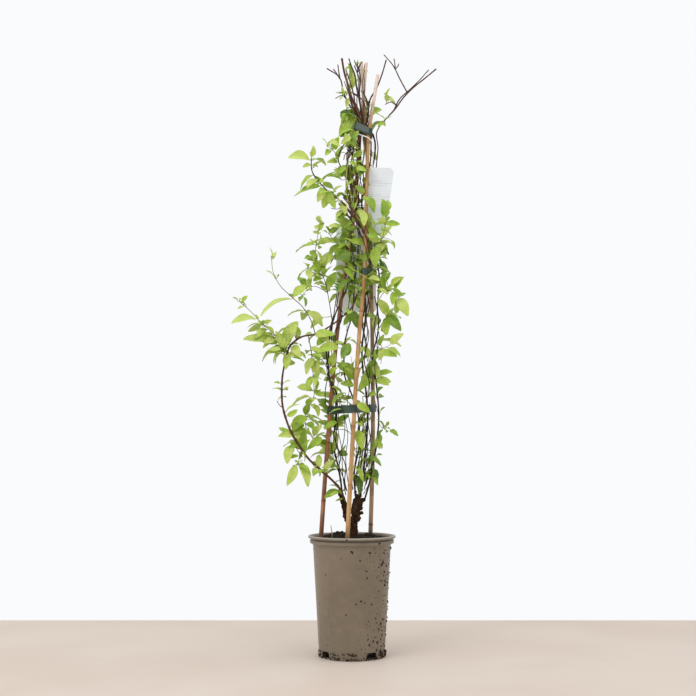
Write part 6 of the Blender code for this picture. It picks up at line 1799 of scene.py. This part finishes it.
across = Vector((math.cos(CARD_LEAN * 0.25), 0, -math.sin(CARD_LEAN * 0.25)))
down = Vector((-math.sin(CARD_LEAN), 0, -math.cos(CARD_LEAN)))
shape = card_shape(CARD_TOP_LEFT, across, down, CARD_WIDTH, CARD_HEIGHT, CARD_COLUMNS, CARD_ROWS,
                   CARD_CORNER, CARD_CUT, CARD_BOW)
label = shape.piece("name_card", card_finish("coated_card", (238, 245, 250), CARD_RULES, 0.06), crease=40)
hole_centre = CARD_TOP_LEFT + across * CARD_HOLE.x + down * CARD_HOLE.y
punch = []
for depth in (-4 * MM, 5 * MM):
    for side in range(CARD_HOLE_SIDES):
        turn = math.tau * side / CARD_HOLE_SIDES
        out = Vector((math.cos(turn), 0, math.sin(turn))) * CARD_HOLE_RADIUS
        punch.append(hole_centre + out + Vector((0, depth, 0)))
ends = [list(range(CARD_HOLE_SIDES - 1, -1, -1)), list(range(CARD_HOLE_SIDES, 2 * CARD_HOLE_SIDES))]
cut_out(label, [(punch, ends + ring_faces(2, CARD_HOLE_SIDES))])
label.data.set_sharp_from_angle(angle=math.radians(40))
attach(label, "root")
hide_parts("label")

# Second card, of the same thin coated card with four rounded corners, larger and plain-backed.
# It is wedged upright behind the right cane, with its face to the back.
TAG_LEFT = -31 * MM
TAG_RIGHT = 48 * MM
TAG_LOW = 670 * MM
TAG_HIGH = 842 * MM
TAG_FRONT = 30.5 * MM
TAG_LEAN = -9.5 * MM
TAG_CORNER = 5 * MM
TAG_COLUMNS = 16
TAG_ROWS = 34
tag_down = Vector((0, -TAG_LEAN, TAG_LOW - TAG_HIGH))
tag_top_left = Vector((TAG_LEFT, TAG_FRONT + TAG_LEAN, TAG_HIGH))
shape = card_shape(tag_top_left, Vector((1, 0, 0)), tag_down.normalized(), TAG_RIGHT - TAG_LEFT,
                   tag_down.length, TAG_COLUMNS, TAG_ROWS, TAG_CORNER)
tag = shape.piece("plain_card", card_finish("plain_backed_card", (244, 248, 248), (), 0.16), crease=40)
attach(tag, "root")
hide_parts("picture_tag")

# White string: two soft cotton strands laid together. It is looped round the canes under the top tie,
# drops in front of them to the name card, and goes through the card's hole.
STRING_RADIUS = 1.1 * MM
STRING_REACH = CANE_RADIUS + STRING_RADIUS + 0.5 * MM
STRING_OVER_STEMS = 6 * MM
STRING_LAY = 5 * MM
STRING_HOLLOW = 0.62
STRING_SIDES = 12
STRING_LOOP = 1014.5 * MM
STRING_MIDDLE = sum(point_at_height(path, STRING_LOOP).x for path in CANE_PATHS.values()) / len(CANE_PATHS)
STRING_FALL = 0.62
STRING_STEPS = 9
STRING_TURN = (100, 240)
STRING_DROP = ((41.5, -15, 1002), (42, -14, 984), (41, -11, 966))
STRING_THROUGH = ((-9.0, 5.0), (-8.3, 1.6), (-6.4, 0.5), (-4.6, 1.6), (-4.2, 5.0), (-4.5, 11.0))
canes_there = [stick_at(name, STRING_LOOP) for name in CANES]
route = []
for step in range(STRING_STEPS):
    turn = math.radians(STRING_TURN[0] + STRING_TURN[1] * step / STRING_STEPS)
    way = round_z(1, turn, 0)
    point = max(canes_there, key=lambda place: place.dot(way)) + way * STRING_REACH
    point += Vector((-0.5, -1, 0)) * STRING_OVER_STEMS * max(0, -math.sin(turn))
    route.append(Vector((point.x, point.y, STRING_LOOP - STRING_FALL * (point.x - STRING_MIDDLE))))
route = curve_through(route + in_metres(STRING_DROP), 8 * MM)
for depth, rise in STRING_THROUGH:
    route.append(Vector((hole_centre.x, depth * MM, hole_centre.z + rise * MM)))
path = curve_through(route, 0.7 * MM)
points, faces, grain = tube(path, [STRING_RADIUS] * len(path), STRING_SIDES)
walked = 0.0
for ring in range(len(path)):
    walked += (path[ring] - path[max(ring - 1, 0)]).length
    for side in range(STRING_SIDES):
        turn = math.tau * side / STRING_SIDES
        lobes = abs(math.cos(turn - math.tau * walked / STRING_LAY / 2))
        index = ring * STRING_SIDES + side
        swell = STRING_HOLLOW + (1 - STRING_HOLLOW) * lobes
        points[index] = path[ring] + (points[index] - path[ring]) * swell
look = Finish("cotton_string", roughness=0.85)
yarn = fibres_in(look, scale=3000.0, squeeze=0.4)
colour = look.mixed(yarn["Amount"], srgb(246, 246, 242), srgb(226, 225, 218))
look.put("Base Color", colour)
# The string glows with its own colour: painted light that makes it whiter.
look.put("Emission Color", colour)
look.put("Emission Strength", 0.22)
relief(look, (yarn["Height"], 0.15 * MM, 0.7))
shape = Shape("grain")
shape.take(points, faces, grain=grain)
string = shape.piece("laid_string", look)
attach(string, "root")
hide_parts("label_string")

# A pale dry straw: one thin round stalk that narrows a little to its top.
# It was left by the nursery and stands nearly upright in the compost.
STRAW_ROUTE = ((-38, 8, 212), (-39, 8, 234), (-41, 7, 250))
STRAW_RADII = (0.9, 0.7)
look = Finish("dry_straw", roughness=0.7)
threads = fibres_in(look, scale=2600.0, squeeze=0.05)
look.put("Base Color", look.mixed(threads["Amount"], srgb(176, 166, 136), srgb(208, 200, 176)))
relief(look, (threads["Height"], 0.15 * MM, 0.6))
path = curve_through(in_metres(STRAW_ROUTE), 2 * MM)
points, faces, grain = tube(path, tapered(path, *STRAW_RADII), 8)
shape = Shape("grain")
shape.take(points, faces, grain=grain)
straw = shape.piece("dry_straw", look)
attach(straw, "root")
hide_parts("straw")
